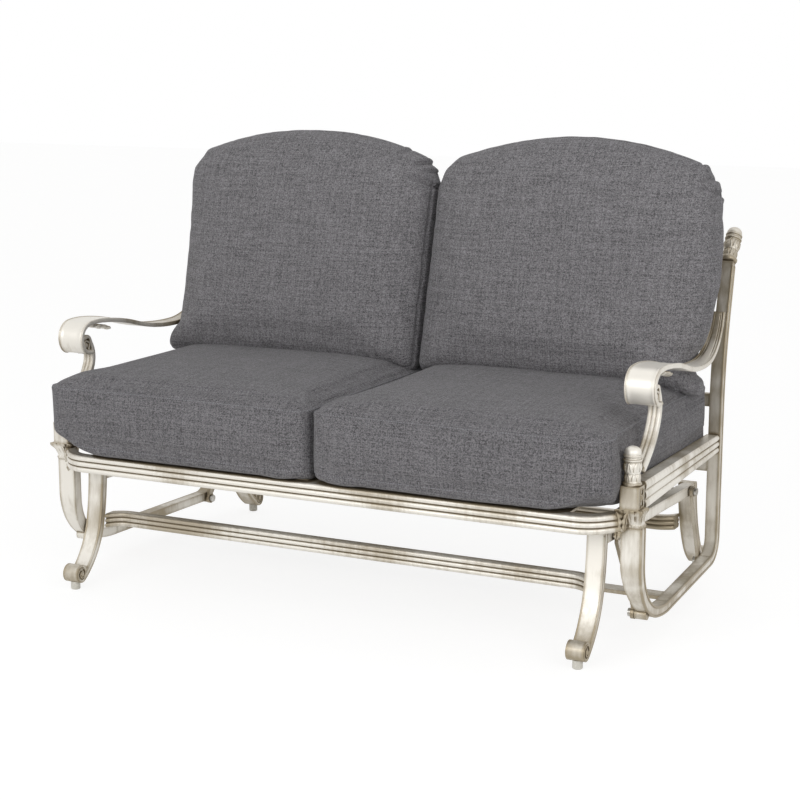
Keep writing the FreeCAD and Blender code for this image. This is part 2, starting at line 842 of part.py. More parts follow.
def eared_outline(x_low, x_high, y_low, y_high, radius, z):
    """A level rectangle with round corners, wider in front of the post on its +X side."""
    diagonal = radius * (1 - math.sqrt(0.5))
    ear_x = x_high + seat_ear
    ear_y = y_low + seat_ear_run
    corners = [
        (x_low, y_low + radius, x_low + diagonal, y_low + diagonal, x_low + radius, y_low),
        (ear_x - radius, y_low, ear_x - diagonal, y_low + diagonal, ear_x, y_low + radius),
        (x_high, y_high - radius, x_high - diagonal, y_high - diagonal, x_high - radius, y_high),
        (x_low + radius, y_high, x_low + diagonal, y_high - diagonal, x_low, y_high - radius),
    ]
    edges = []
    for index, (ax, ay, mx, my, bx, by) in enumerate(corners):
        edges.append(Part.Arc(V(ax, ay, z), V(mx, my, z), V(bx, by, z)).toShape())
        stops = [(bx, by), corners[(index + 1) % 4][:2]]
        if index == 1:
            stops[1:1] = [(ear_x, ear_y), (x_high, ear_y + seat_ear_slant)]
        for (x0, y0), (x1, y1) in zip(stops, stops[1:]):
            edges.append(Part.LineSegment(V(x0, y0, z), V(x1, y1, z)).toShape())
    return Part.Wire(edges)


def seat_cushion():
    """The right seat cushion: a boxed border, a swollen side and a crown on top."""
    x_low = cushion_gap / 2
    x_high = x_low + seat_cushion_width
    z_low = seat_cushion_bottom_z
    levels = []
    for step in range(border_steps + 1):
        share = step / border_steps
        swell = seat_side_swell * math.sin(math.pi * share)
        levels.append((seam_inset - swell, seat_border * share))
    for step in range(1, crown_steps + 1):
        angle = math.pi / 2 * step / crown_steps
        inset = seam_inset + seat_crown_run * (1 - math.cos(angle))
        levels.append((inset, seat_border + seat_crown * math.sin(angle)))
    sections = []
    for inset, height in levels:
        grow = inset + seat_side_swell
        sections.append(
            eared_outline(
                x_low + grow,
                x_high - grow,
                seat_cushion_front_y + grow,
                seat_cushion_rear_y - grow,
                seat_corner_radius + grow * 0.1,
                z_low + height,
            )
        )
    return Part.makeLoft(sections, True, True)


def arched_outline(half_width, waist_half, height, inset, depth):
    """The outline of a back cushion with an arched top, drawn in by the inset and by the arm."""
    half = half_width - inset
    waist = waist_half - inset
    low = inset
    low_waist = max(back_waist_low, low + back_foot_radius + 4)
    high_waist = max(back_waist_high, low_waist + 20)
    high = height - inset
    shoulder = height - back_shoulder_drop - inset * 0.6
    corner = back_corner_radius
    foot = back_foot_radius
    slant = foot * (1 - math.sqrt(0.5))
    corner_slant = corner * (1 - math.sqrt(0.5))
    top_y = shoulder + corner * 0.62
    half_top = half - corner * 0.62
    points = {
        "arch": (V(-half_top, depth, top_y), V(0, depth, high), V(half_top, depth, top_y)),
        "right shoulder": (
            V(half_top, depth, top_y),
            V(half - corner_slant * 0.6, depth, shoulder + corner * 0.2),
            V(half, depth, shoulder - corner * 0.5),
        ),
        "right foot": (
            V(half, depth, low + foot),
            V(half - slant, depth, low + slant),
            V(half - foot, depth, low),
        ),
        "left foot": (
            V(-half + foot, depth, low),
            V(-half + slant, depth, low + slant),
            V(-half, depth, low + foot),
        ),
        "left shoulder": (
            V(-half, depth, shoulder - corner * 0.5),
            V(-half + corner_slant * 0.6, depth, shoulder + corner * 0.2),
            V(-half_top, depth, top_y),
        ),
    }
    arcs = [Part.Arc(*three).toShape() for three in points.values()]
    side = [
        V(half, depth, shoulder - corner * 0.5),
        V(waist, depth, high_waist),
        V(waist, depth, low_waist),
        V(half, depth, low + foot),
    ]
    side_lines = [Part.LineSegment(*ends).toShape() for ends in zip(side, side[1:])]
    foot_line = Part.LineSegment(V(half - foot, depth, low), V(-half + foot, depth, low)).toShape()
    inner_line = Part.LineSegment(V(-half, depth, low + foot), V(-half, depth, side[0].z)).toShape()
    return Part.Wire(arcs[:2] + side_lines + [arcs[2], foot_line, arcs[3], inner_line, arcs[4]])


def back_cushion():
    """The right back cushion: an arched pillow with drawn-in edges and a waist inside the arm."""
    half = back_cushion_width / 2
    centre_x = cushion_gap / 2 + half
    waist_half = arm_rear_inner_x - arm_clearance - centre_x
    sections = []
    for step in range(2 * roll_steps + 1):
        angle = math.pi / 2 * (step / roll_steps - 1)
        inset = back_edge_roll * (1 - math.cos(angle))
        depth = back_cushion_thickness / 2 * (1 + math.sin(angle))
        sections.append(arched_outline(half, waist_half, back_cushion_height, inset, depth))
    shape = Part.makeLoft(sections, True, True)
    shape.rotate(V(0, 0, 0), V(1, 0, 0), -back_cushion_tilt)
    shape.translate(V(centre_x, back_cushion_front_y, back_cushion_bottom_z))
    return shape


def side_shapes():
    """The shapes of the right hand side, by name."""
    block = post_block()
    cap = post_cap()
    collar = post_collar()
    post = back_post()
    rest = armrest().cut(post)
    support = arm_support().cut(cap).cut(rest)
    return {
        "front_loop_bar": front_loop_bar(),
        "bottom_loop_bar": bottom_loop_bar().cut(post),
        "back_post": post,
        "post_finial": finial().cut(post),
        "front_post_collar": collar,
        "front_post_block": block,
        "front_post_cap": cap,
        "arm_support": support,
        "armrest": rest,
        "seat_side_rail": side_rail().cut([block, collar, post]),
    }


def base_shapes():
    """The shapes of the base, by name."""
    front_leg = leg(front_leg_top_z)
    rear_leg = to_rear(leg(rear_leg_top_z))
    pins = [upper_pin(front_place), upper_pin(rear_place)]
    rail = base_rail().cut(pins[0]).cut(pins[1])
    pad = glide().cut(front_leg)
    legs = [front_leg, to_left(front_leg), rear_leg, to_left(rear_leg)]
    front = stretcher().common(between_legs()).cut(legs[:2])
    pads = [pad, to_left(pad), to_rear(pad), to_left(to_rear(pad))]
    return {
        "front_leg_right": legs[0],
        "front_leg_left": legs[1],
        "rear_leg_right": legs[2],
        "rear_leg_left": legs[3],
        "base_rail_right": rail,
        "base_rail_left": to_left(rail),
        "front_stretcher": front,
        "rear_stretcher": to_rear(front),
        "foot_glides": group(pads),
        "upper_pivot_bolts": group(pins + [to_left(pin) for pin in pins]),
    }


def link_shapes():
    """The four links and their bushes, by name."""
    shapes = {}
    for end, place in (("front", front_place), ("rear", rear_place)):
        shapes[f"{end}_link_right"] = link(place)
        shapes[f"{end}_link_left"] = to_left(link(place))
        shapes[f"{end}_link_bushes_right"] = link_bushes(place)
        shapes[f"{end}_link_bushes_left"] = to_left(link_bushes(place))
    return shapes


def seat_shapes():
    """The shapes of the hanging seat, by name."""
    shapes = {}
    side = side_shapes()
    for name, shape in side.items():
        shapes[f"{name}_right"] = shape
        shapes[f"{name}_left"] = to_left(shape)
    collars = [shapes["front_post_collar_right"], shapes["front_post_collar_left"]]
    lower_rail = lower_back_rail()
    top_rail = arched_back_rail()
    posts = [shapes["back_post_right"], shapes["back_post_left"]]
    pins = [lower_pin(front_place), lower_pin(rear_place)]
    loops = [shapes["bottom_loop_bar_right"], shapes["bottom_loop_bar_left"]]
    shapes["front_apron"] = apron().cut(collars)
    shapes["rear_seat_rail"] = rear_rail()
    shapes["seat_slats"] = seat_slats()
    shapes["loop_tie_bar"] = tie_bar().cut(loops)
    shapes["lower_back_rail"] = lower_rail
    shapes["arched_back_rail"] = top_rail.cut(posts)
    shapes["back_spindles"] = back_spindles([lower_rail, top_rail])
    shapes["lower_pivot_bolts"] = group(pins + [to_left(pin) for pin in pins])
    cushion = seat_cushion()
    pillow = back_cushion().cut([cushion, shapes["armrest_right"]])
    shapes["seat_cushion_right"] = cushion
    shapes["seat_cushion_left"] = to_left(cushion)
    shapes["back_cushion_right"] = pillow
    shapes["back_cushion_left"] = to_left(pillow)
    return shapes


os.makedirs("parts", exist_ok=True)
all_shapes = {**base_shapes(), **link_shapes(), **seat_shapes()}
for node, node_shape in all_shapes.items():
    node_shape.exportStep(f"parts/{node}.step")
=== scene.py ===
import math
from functools import cached_property

import bmesh
import bpy
from mathutils import Matrix, Vector, noise
from mathutils.bvhtree import BVHTree


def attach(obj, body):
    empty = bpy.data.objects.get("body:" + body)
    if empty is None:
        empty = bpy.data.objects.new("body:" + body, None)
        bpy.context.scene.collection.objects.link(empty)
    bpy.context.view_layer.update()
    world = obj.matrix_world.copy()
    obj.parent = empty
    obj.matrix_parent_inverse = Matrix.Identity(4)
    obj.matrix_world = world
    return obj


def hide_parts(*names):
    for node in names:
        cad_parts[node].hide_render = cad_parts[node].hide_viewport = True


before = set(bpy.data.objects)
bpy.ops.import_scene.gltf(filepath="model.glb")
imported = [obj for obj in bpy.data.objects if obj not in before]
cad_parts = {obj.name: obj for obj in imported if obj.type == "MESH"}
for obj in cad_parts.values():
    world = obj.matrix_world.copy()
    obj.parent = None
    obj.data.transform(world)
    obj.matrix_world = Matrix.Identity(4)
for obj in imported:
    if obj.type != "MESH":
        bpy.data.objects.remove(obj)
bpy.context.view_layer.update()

# Everything is in metres, but the points of the cast ornament are in millimetres until they become a
# mesh. +X is the bench's right hand side from the front, -Y its front, +Z up.

MM = 0.001

# Sizes that the scene shares with the CAD model
SEAT_Z = 321 * MM
SEAT_BORDER = 166 * MM
SEAT_CROWN = 28 * MM
BACK_TILT = math.radians(15.5)
BACK_ORIGIN = Vector((355.5, 54.0, 506.2)) * MM
BACK_WIDTH = 708 * MM
BACK_HEIGHT = 582 * MM
BACK_THICKNESS = 190 * MM
BACK_POST = Vector((698, 356, 765)) * MM
FINIAL_TILT = math.radians(36)

# In millimetres, for the ornament: the front post, a leg's two faces and the middle of its volute
POST_X, POST_Y = 711, -322
POST_RADIUS = 19.9
LEG_FACES = (612, 652)
FOOT_VOLUTE = (-408, 38)

MIRROR_X = Matrix.Diagonal((-1, 1, 1, 1))
MIRROR_Y = Matrix.Diagonal((1, -1, 1, 1))


# ---- small helpers


def link(obj):
    bpy.context.scene.collection.objects.link(obj)
    return obj


def evaluated(obj):
    """A new mesh of the object with its modifiers applied."""
    graph = bpy.context.evaluated_depsgraph_get()
    return bpy.data.meshes.new_from_object(obj.evaluated_get(graph))


def from_bmesh(name, bm):
    mesh = bpy.data.meshes.new(name)
    bm.to_mesh(mesh)
    bm.free()
    return link(bpy.data.objects.new(name, mesh))


def assign(target, settings):
    for key, value in settings.items():
        setattr(target, key, value)
    return target


def modify(obj, name, kind, **settings):
    return assign(obj.modifiers.new(name, kind), settings)


def shade(mesh, smooth=True):
    for polygon in mesh.polygons:
        polygon.use_smooth = smooth


def mesh_object(name, verts, faces, smooth=True):
    """An object from points and faces, with its faces turned outwards."""
    mesh = bpy.data.meshes.new(name)
    mesh.from_pydata([tuple(v) for v in verts], [], faces)
    mesh.validate()
    obj = link(bpy.data.objects.new(name, mesh))
    bm = bmesh.new()
    bm.from_mesh(mesh)
    bmesh.ops.recalc_face_normals(bm, faces=bm.faces)
    bm.to_mesh(mesh)
    bm.free()
    shade(mesh, smooth)
    return obj


def ring_mesh(name, rings):
    """A skin over closed rings with the same number of points, closed at both ends."""
    verts = [point for ring in rings for point in ring]
    count = len(rings[0])
    faces = []
    for i in range(len(rings) - 1):
        for j in range(count):
            k = (j + 1) % count
            faces.append((i * count + j, i * count + k, (i + 1) * count + k, (i + 1) * count + j))
    faces.append(tuple(reversed(range(count))))
    start = (len(rings) - 1) * count
    faces.append(tuple(range(start, start + count)))
    return mesh_object(name, verts, faces)


def tube(name, points, radius, sides=8):
    """A round bar along a line of points."""
    rings = []
    normal = None
    for i, point in enumerate(points):
        before = points[max(i - 1, 0)]
        after = points[min(i + 1, len(points) - 1)]
        along = (after - before).normalized()
        if normal is None:
            normal = along.orthogonal().normalized()
        normal = (normal - along * normal.dot(along)).normalized()
        across = along.cross(normal)
        ring = []
        for j in range(sides):
            angle = 2 * math.pi * j / sides
            ring.append(point + (normal * math.cos(angle) + across * math.sin(angle)) * radius)
        rings.append(ring)
    return ring_mesh(name, rings)


def flip(obj, mirror):
    obj.data.transform(mirror)
    obj.data.flip_normals()


def mirrored(obj, name, mirror=MIRROR_X):
    """A mirrored copy of the object, on the bench's left side if no mirror is given."""
    copy = link(bpy.data.objects.new(name, obj.data.copy()))
    flip(copy, mirror)
    return copy


def join(name, objects):
    """One object from several."""
    bm = bmesh.new()
    for obj in objects:
        bm.from_mesh(obj.data)
        bpy.data.objects.remove(obj)
    joined = from_bmesh(name, bm)
    shade(joined.data)
    return joined


def finish_piece(obj, material, body, replaced=()):
    """Give a piece its material and body, and hide the CAD nodes whose look it takes over."""
    obj.data.materials.clear()
    obj.data.materials.append(material)
    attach(obj, body)
    if replaced:
        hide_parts(*replaced)


def mm(x, y, z):
    """A point given in millimetres."""
    return Vector((x, y, z)) * MM


def smoothstep(low, high, value):
    """0 below the low limit, 1 above the high one and a soft rise between them."""
    share = min(max((value - low) / (high - low), 0.0), 1.0)
    return share * share * (3 - 2 * share)


def bell(value, middle, width):
    """1 at the middle, falling softly to 0 within about two widths."""
    return math.exp(-(((value - middle) / width) ** 2))


# ---- materials


class Nodes:
    """The node tree of a material or world, with one short call for each kind of node."""

    def __init__(self, owner):
        owner.use_nodes = True
        self.owner = owner
        self.tree = owner.node_tree
        self.shader = self.tree.nodes.get("Principled BSDF")

    @cached_property
    def coordinates(self):
        return self.node("TexCoord").outputs["Object"]

    def link(self, source, target):
        self.tree.links.new(source, target)

    def node(self, kind, **settings):
        return assign(self.tree.nodes.new("ShaderNode" + kind), settings)

    def set(self, node, values):
        """Link or write each value to the node's input of that name or number."""
        for key, value in values.items():
            if hasattr(value, "is_output"):
                self.link(value, node.inputs[key])
            else:
                node.inputs[key].default_value = value

    def math(self, operation, first, second=0.0, clamp=False):
        node = self.node("Math", operation=operation, use_clamp=clamp)
        self.set(node, {0: first, 1: second})
        return node.outputs[0]

    def times(self, value, factor):
        return self.math("MULTIPLY", value, factor)

    def weighted(self, first, first_weight, second, second_weight):
        return self.math("ADD", self.times(first, first_weight), self.times(second, second_weight))

    def scaled(self, x, y, z):
        node = self.node("VectorMath", operation="MULTIPLY")
        self.set(node, {0: self.coordinates, 1: (x, y, z)})
        return node.outputs[0]

    def noise(self, scale, detail, roughness, distortion=0.0, vector=None):
        node = self.node("TexNoise")
        values = {"Scale": scale, "Detail": detail, "Roughness": roughness, "Distortion": distortion}
        self.set(node, {**values, "Vector": self.coordinates if vector is None else vector})
        return node.outputs["Fac"]

    def ramp(self, value, low, high, start=0.0, end=1.0):
        node = self.node("MapRange", interpolation_type="SMOOTHSTEP")
        self.set(node, {0: value, 1: low, 2: high, 3: start, 4: end})
        return node.outputs[0]

    def mix(self, factor, first, second):
        node = self.node("Mix", data_type="RGBA")
        self.set(node, {0: factor, 6: first, 7: second})
        return node.outputs[2]

    def choice(self, factor, first, second):
        """The first number where the factor is 0 and the second where it is 1."""
        node = self.node("Mix", data_type="FLOAT")
        self.set(node, {0: factor, 2: first, 3: second})
        return node.outputs[0]

    def axes(self, vector):
        node = self.node("SeparateXYZ")
        self.link(vector, node.inputs[0])
        return node.outputs

    def occlusion(self, distance, samples, inside=False):
        node = self.node("AmbientOcclusion", samples=samples, inside=inside)
        node.inputs["Distance"].default_value = distance
        return node.outputs["AO"]

    def seen(self):
        """1 for the rays that show a thing to the camera, straight, mirrored or through glass."""
        path = self.node("LightPath")
        seen = self.math("MAXIMUM", path.outputs["Is Camera Ray"], path.outputs["Is Glossy Ray"])
        return self.math("MAXIMUM", seen, path.outputs["Is Transmission Ray"])

    def bump(self, height, strength, distance):
        node = self.node("Bump")
        self.set(node, {"Height": height, "Strength": strength, "Distance": distance})
        self.link(node.outputs["Normal"], self.shader.inputs["Normal"])


def cast_metal(name, light, middle, dark, painted_reflection_and_streak_weight, roughness, metallic):
    """Cast metal in pale paint and tan. The middle of broad faces takes a painted highlight and their
    edges stay tan as painted shade.
    Soft bands of painted reflection and random streaks add tan, more of it near the floor, with painted
    shade towards the rear and where the bench's own parts close round a surface, and a brown wash with
    painted shade in the hollows."""
    n = Nodes(bpy.data.materials.new(name))
    # Soft bands stretched along X: painted reflection of dark surroundings. The streaks and specks below
    # are random tone and pits.
    bands = n.noise(8.0, 2.0, 0.45, 0.4, n.scaled(0.45, 0.80, 1.0))
    streaks = n.noise(95.0, 3.0, 0.6, vector=n.scaled(1.0, 1.0, 0.22))
    specks = n.noise(520.0, 2.0, 0.6)
    # Occlusion 12 mm out: a brown wash in the hollows, which also paints the shade that falls there
    hollow_wash_and_shade = n.ramp(n.occlusion(0.012, 8), 0.42, 0.96, 1.0, 0.0)
    # Occlusion 60 mm out: painted shade where the bench's own parts close round a surface
    painted_close_parts_shade = n.ramp(n.occlusion(0.060, 6), 0.35, 0.95, 1.0, 0.0)
    # Inside occlusion: 1 on the middle of broad faces, which get a painted highlight, less towards their
    # edges, which stay tan as painted shade
    flat = n.ramp(n.occlusion(0.008, 6, inside=True), 0.45, 0.95)
    # The painted reflection bands together with the random streaks, weighted
    streaks_and_painted_light = n.times(n.ramp(n.weighted(bands, 0.80, streaks, 0.20), 0.38, 0.68), painted_reflection_and_streak_weight)
    _, y, z = n.axes(n.coordinates)
    # Painted shade, growing towards the rear
    painted_rear_shade = n.ramp(n.math("ADD", y, n.noise(4.0, 1.0, 0.5)), 0.25, 0.95, 0.0, 0.38)
    # Darker near the floor
    low_down = n.ramp(z, 0.03, 0.17, 0.12, 0.0)
    streaks_and_painted_light = n.math("ADD", n.math("ADD", streaks_and_painted_light, painted_rear_shade), low_down)
    # Tan also grows with the painted shade of close parts and of the hollows
    tan = n.math("ADD", streaks_and_painted_light, n.times(painted_close_parts_shade, 0.55))
    tan = n.math("ADD", tan, n.times(n.ramp(hollow_wash_and_shade, 0.05, 0.50), 0.7))
    # Less tan, so paler, where broad faces take the painted highlight
    tan = n.math("SUBTRACT", n.math("ADD", tan, 0.42), n.times(flat, 0.66), clamp=True)
    # Brown from the wash and painted shade of the hollows, with specks of pitting
    brown = n.ramp(hollow_wash_and_shade, 0.22, 0.85, 0.0, 0.95)
    brown = n.math("ADD", brown, n.times(n.ramp(specks, 0.60, 0.72), 0.05), clamp=True)
    colour = n.mix(tan, (*light, 1), (*middle, 1))
    rubbed = n.math("ADD", roughness, n.times(brown, 0.25))
    colour = n.mix(brown, colour, (*dark, 1))
    n.set(n.shader, {"Base Color": colour, "Roughness": rubbed, "Metallic": metallic})
    n.bump(n.weighted(specks, 0.35, streaks, 0.65), 0.22, 0.0012)
    return n.owner


# The weave: the distance between threads, and for the short and the long tones along a yarn their
# length, how far neighbouring threads differ and how much they count
THREAD_PITCH = 0.0016
SHORT_TONES = (0.005, 7.31, 0.47)
LONG_TONES = (0.090, 3.17, 0.25)


def fabric(name, dark, light):
    """A plain weave of heathered yarn: threads over and under each other, with flecks."""
    n = Nodes(bpy.data.materials.new(name))
    x, y, z = n.axes(n.coordinates)
    facing = [n.math("ABSOLUTE", side) for side in n.axes(n.node("NewGeometry").outputs["True Normal"])]
    # The threads run along two of the three axes, whichever lie in the surface
    u = n.choice(n.math("GREATER_THAN", facing[0], 0.72), x, y)
    v = n.choice(n.math("GREATER_THAN", facing[2], 0.72), z, y)

    def yarn(thread, run, seed):
        """The tone of one thread of the weave, which drifts along its length."""
        tones = []
        for length, apart, weight in (SHORT_TONES, LONG_TONES):
            vector = n.node("CombineXYZ")
            n.set(vector, {0: n.times(thread, apart), 1: n.times(run, 1 / length), 2: seed})
            drift = n.ramp(n.noise(1.0, 0.0, 0.5, vector=vector.outputs[0]), 0.34, 0.66)
            tones.append(n.times(drift, weight))
        return n.math("ADD", *tones)

    thread_u = n.math("FLOOR", n.times(u, 1 / THREAD_PITCH))
    thread_v = n.math("FLOOR", n.times(v, 1 / THREAD_PITCH))
    crossing = n.math("FLOORED_MODULO", n.math("ADD", thread_u, thread_v), 2.0)
    over = n.choice(crossing, yarn(thread_u, v, 3.1), yarn(thread_v, u, 7.7))
    fleck = n.noise(620.0, 1.0, 0.5)
    tone = n.math("ADD", over, n.times(fleck, 0.14), clamp=True)
    n.set(n.shader, {"Base Color": n.mix(tone, (*dark, 1), (*light, 1)), "Roughness": 0.92})
    n.set(n.shader, {"Specular IOR Level": 0.22, "Sheen Weight": 0.12, "Sheen Roughness": 0.5})
    waves = [n.math("SINE", n.times(run, math.pi / THREAD_PITCH)) for run in (u, v)]
    weave = n.math("ADD", n.times(n.times(*waves), 0.5), tone)
    n.bump(weave, 0.5, 0.0009)
    return n.owner


def plain(name, light, dark, roughness, metallic, scale, strength):
    """A moulded or machined finish with a fine grain and faint blotches."""
    n = Nodes(bpy.data.materials.new(name))
    blotch = n.noise(scale * 0.12, 3.0, 0.6)
    grain = n.noise(scale, 2.0, 0.6)
    tone = n.ramp(n.weighted(blotch, 0.7, grain, 0.3), 0.3, 0.7)
    worn = n.ramp(blotch, 0.3, 0.7, roughness - 0.06, roughness + 0.08)
    colour = n.mix(tone, (*dark, 1), (*light, 1))
    n.set(n.shader, {"Base Color": colour, "Roughness": worn, "Metallic": metallic})
    n.bump(grain, strength, 0.0005)
    return n.owner


FRAME_FINISH = cast_metal(
    "frame_finish", light=(0.87, 0.835, 0.765), middle=(0.38, 0.32, 0.225), dark=(0.20, 0.155, 0.095),
    painted_reflection_and_streak_weight=0.98, roughness=0.43, metallic=0.52,
)
LINK_FINISH = cast_metal(
    "link_finish", light=(0.76, 0.72, 0.64), middle=(0.36, 0.30, 0.21), dark=(0.16, 0.125, 0.075),
    painted_reflection_and_streak_weight=0.85, roughness=0.38, metallic=0.55,
)
BOLT_FINISH = plain(
    "bolt_finish", light=(0.62, 0.61, 0.58), dark=(0.40, 0.38, 0.34),
    roughness=0.34, metallic=0.9, scale=900.0, strength=0.15,
)
NYLON = plain(
    "nylon", light=(0.74, 0.72, 0.66), dark=(0.62, 0.60, 0.54),
    roughness=0.48, metallic=0.0, scale=700.0, strength=0.12,
)
THREAD = plain(
    "stitch_thread", light=(0.34, 0.34, 0.36), dark=(0.22, 0.22, 0.24),
    roughness=0.8, metallic=0.0, scale=1400.0, strength=0.3,
)
SEAT_CLOTH = fabric("seat_cloth", dark=(0.032, 0.031, 0.033), light=(0.330, 0.319, 0.334))
BACK_CLOTH = fabric("back_cloth", dark=(0.045, 0.0435, 0.046), light=(0.373, 0.361, 0.377))

# The finish of a CAD node, by the first of these words that its name holds
NODE_FINISHES = (
    ("link_bushes", NYLON), ("foot_glides", NYLON), ("bolts", BOLT_FINISH), ("_link_", LINK_FINISH),
    ("seat_cushion", SEAT_CLOTH), ("back_cushion", BACK_CLOTH), ("", FRAME_FINISH),
)
# The cast parts keep their CAD shape and get softened edges, this many millimetres wide
SOFT_EDGE = {"armrest": 2.2, "leg": 1.8, "rail": 1.2, "post": 2.0, "bar": 2.0, "support": 1.6}
for node_name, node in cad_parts.items():
    chosen = next(finish for word, finish in NODE_FINISHES if word in node_name)
    for material_slot in node.material_slots:
        material_slot.link = "OBJECT"
        material_slot.material = chosen
    if chosen in (FRAME_FINISH, LINK_FINISH):
        widths = [width for key, width in SOFT_EDGE.items() if key in node_name]
        modify(
            node, "soft_edges", "BEVEL", width=(widths[0] if widths else 1.0) * MM, segments=3,
            limit_method="ANGLE", angle_limit=math.radians(32),
        )


# ---- cushions


RING_POINTS = 360


def even_points(corners):
    """The points of a cushion's ring, evenly spaced round a closed line."""
    closed = [*corners, corners[0]]
    lengths = [math.hypot(c - a, d - b) for (a, b), (c, d) in zip(closed, closed[1:])]
    step = sum(lengths) / RING_POINTS
    result = []
    i, start = 0, 0.0
    for j in range(RING_POINTS):
        want = j * step
        while i < len(corners) - 1 and start + lengths[i] < want:
            start += lengths[i]
            i += 1
        share = (want - start) / lengths[i] if lengths[i] else 0.0
        (x, y), (next_x, next_y) = closed[i], closed[i + 1]
        result.append((x + (next_x - x) * share, y + (next_y - y) * share))
    return result


def arc(centre, radius, start, end, steps=10):
    """Points on an arc, angles in degrees. The radius may differ in the two directions."""
    across, up = radius if isinstance(radius, tuple) else (radius, radius)
    points = []
    for i in range(steps + 1):
        angle = math.radians(start + (end - start) * i / steps)
        points.append((centre[0] + across * math.cos(angle), centre[1] + up * math.sin(angle)))
    return points


def seat_ring(inset, z):
    """A level ring of the right seat cushion, wider in front of the arm post."""
    x_low, x_high = 3.5 * MM + inset, 680 * MM - inset
    y_low, y_high = -422 * MM + inset, 284 * MM - inset
    radius = 44 * MM + inset * 0.1
    rear_radius = 18 * MM + inset * 0.2
    ear = 12 * MM
    corners = arc((x_low + radius, y_low + radius), radius, 180, 270)
    corners += arc((x_high + ear - radius, y_low + radius), radius, 270, 360)
    for i in range(1, 9):
        share = i / 8
        corners.append((x_high + ear * (1 - smoothstep(0, 1, share)), y_low + radius + 56 * MM * share))
    corners += arc((x_high - rear_radius, y_high - rear_radius), rear_radius, 0, 90)
    corners += arc((x_low + rear_radius, y_high - rear_radius), rear_radius, 90, 180)
    return [Vector((x, y, z)) for x, y in even_points(corners)]


def seat_form():
    """The right seat cushion before it is filled: boxed border, crowned top, lifted lower corners."""
    rings = []
    floor = SEAT_Z + 1.0 * MM
    roll = 13 * MM
    for inset in (250, 150, 60):
        rings.append(seat_ring(inset * MM, floor))
    for i in range(6):
        angle = math.pi / 2 * i / 5
        rings.append(seat_ring(roll * (1 - math.sin(angle)), floor + roll * (1 - math.cos(angle))))
    for i in range(1, 9):
        rings.append(seat_ring(0.0, floor + roll + (SEAT_BORDER - roll - 5 * MM) * i / 8))
    top = floor + SEAT_BORDER - 5 * MM
    for i in range(1, 12):
        angle = math.pi / 2 * i / 12
        inset = 235 * MM * (1 - math.cos(angle))
        rings.append(seat_ring(inset + 3 * MM, top + SEAT_CROWN * math.sin(angle)))
    form = ring_mesh("seat_form", rings)
    # Where the lower front corners are lifted: x, y, height and reach
    lift_points = ((700 * MM, -430 * MM, 52 * MM, 84 * MM), (0.0, -430 * MM, 20 * MM, 38 * MM))
    for vertex in form.data.vertices:
        low = 1 - smoothstep(0.0, 90 * MM, vertex.co.z - floor)
        rise = 6 * MM * (1 - smoothstep(-424 * MM, -384 * MM, vertex.co.y))
        for x, y, lift, reach in lift_points:
            rise += lift * math.exp(-(((vertex.co.x - x) ** 2 + (vertex.co.y - y) ** 2) / reach**2))
        vertex.co.z += rise * low
    return form


def between(line, value):
    """The second number of a line of pairs, at a value between two of the first ones."""
    for (start, first), (end, last) in zip(line, line[1:]):
        if (value - start) * (value - end) <= 0:
            return first + (last - first) * (value - start) / (end - start)
    return line[-1][1] if abs(value - line[-1][0]) < abs(value - line[0][0]) else line[0][1]


# How far the outer side of each back cushion stands out past its solid, by height, in millimetres
RIGHT_EDGE = (
    (440, -2), (416, -1), (378, 7), (320, 11), (254, 13), (222, 8), (164, 3), (130, -5), (94, -23),
    (62, -26),
)
LEFT_EDGE = ((440, -8), (388, -13), (310, -18), (226, -21), (128, -25), (76, -23), (50, -21))


def back_ring(inset, depth, edge):
    """A ring of a back cushion, parallel to its front, in its own leaned frame."""
    half = BACK_WIDTH / 2 - inset
    low, high = inset * 0.6, BACK_HEIGHT + 5 * MM - inset
    sag = 58 * MM * half / (BACK_WIDTH / 2)
    reach, top = half - 44 * MM, high - sag
    arch_radius = (reach**2 + sag**2) / (2 * sag)
    arch_half = math.degrees(math.asin(reach / arch_radius))
    corners = arc((0, high - arch_radius), arch_radius, 90 + arch_half, 90 - arch_half, 40)
    corners += [(half - 30 * MM, top - 21 * MM), (half - 9 * MM, top - 48 * MM)]
    # The outer side draws in towards the arm and stands out again in a pointed corner below it
    start, end = top - 84 * MM, low + 62 * MM
    for i in range(13):
        height = start + (end - start) * i / 12
        corners.append((half + between(edge, height / MM) * MM, height))
    drawn = edge[-1][1] * MM
    ear = 9 * MM
    corners += [(half + drawn * 0.75, low + 46 * MM), (half + drawn * 0.1, low + 29 * MM)]
    corners += arc((half - ear, low + 18 * MM), (ear, 18 * MM), 0, -90, 6)
    foot = 24 * MM
    corners += arc((-half + foot, low + foot), foot, 270, 180)
    corners += [(-half, top - 74 * MM), (-half + 14 * MM, top - 31 * MM)]
    corners += [(-half + 34 * MM, top - 9 * MM)]
    return [Vector((x, depth, h)) for x, h in even_points(corners)]


BACK_PLACE = Matrix.Translation(BACK_ORIGIN) @ Matrix.Rotation(-BACK_TILT, 4, "X")


def back_form(edge):
    """A back cushion before it is filled, described for the right side."""
    rings = []
    steps = 16
    for i in range(steps + 1):
        angle = math.pi / 2 * (2 * i / steps - 1)
        inset = 112 * MM * (1 - math.cos(angle))
        rings.append(back_ring(inset, BACK_THICKNESS / 2 * (1 + 0.90 * math.sin(angle)), edge))
    crown = back_ring(210 * MM, 3.0 * MM, edge)
    rear_crown = back_ring(210 * MM, BACK_THICKNESS - 3.0 * MM, edge)
    form = ring_mesh("back_form", [crown, *rings, rear_crown])
    form.data.transform(BACK_PLACE)
    return form


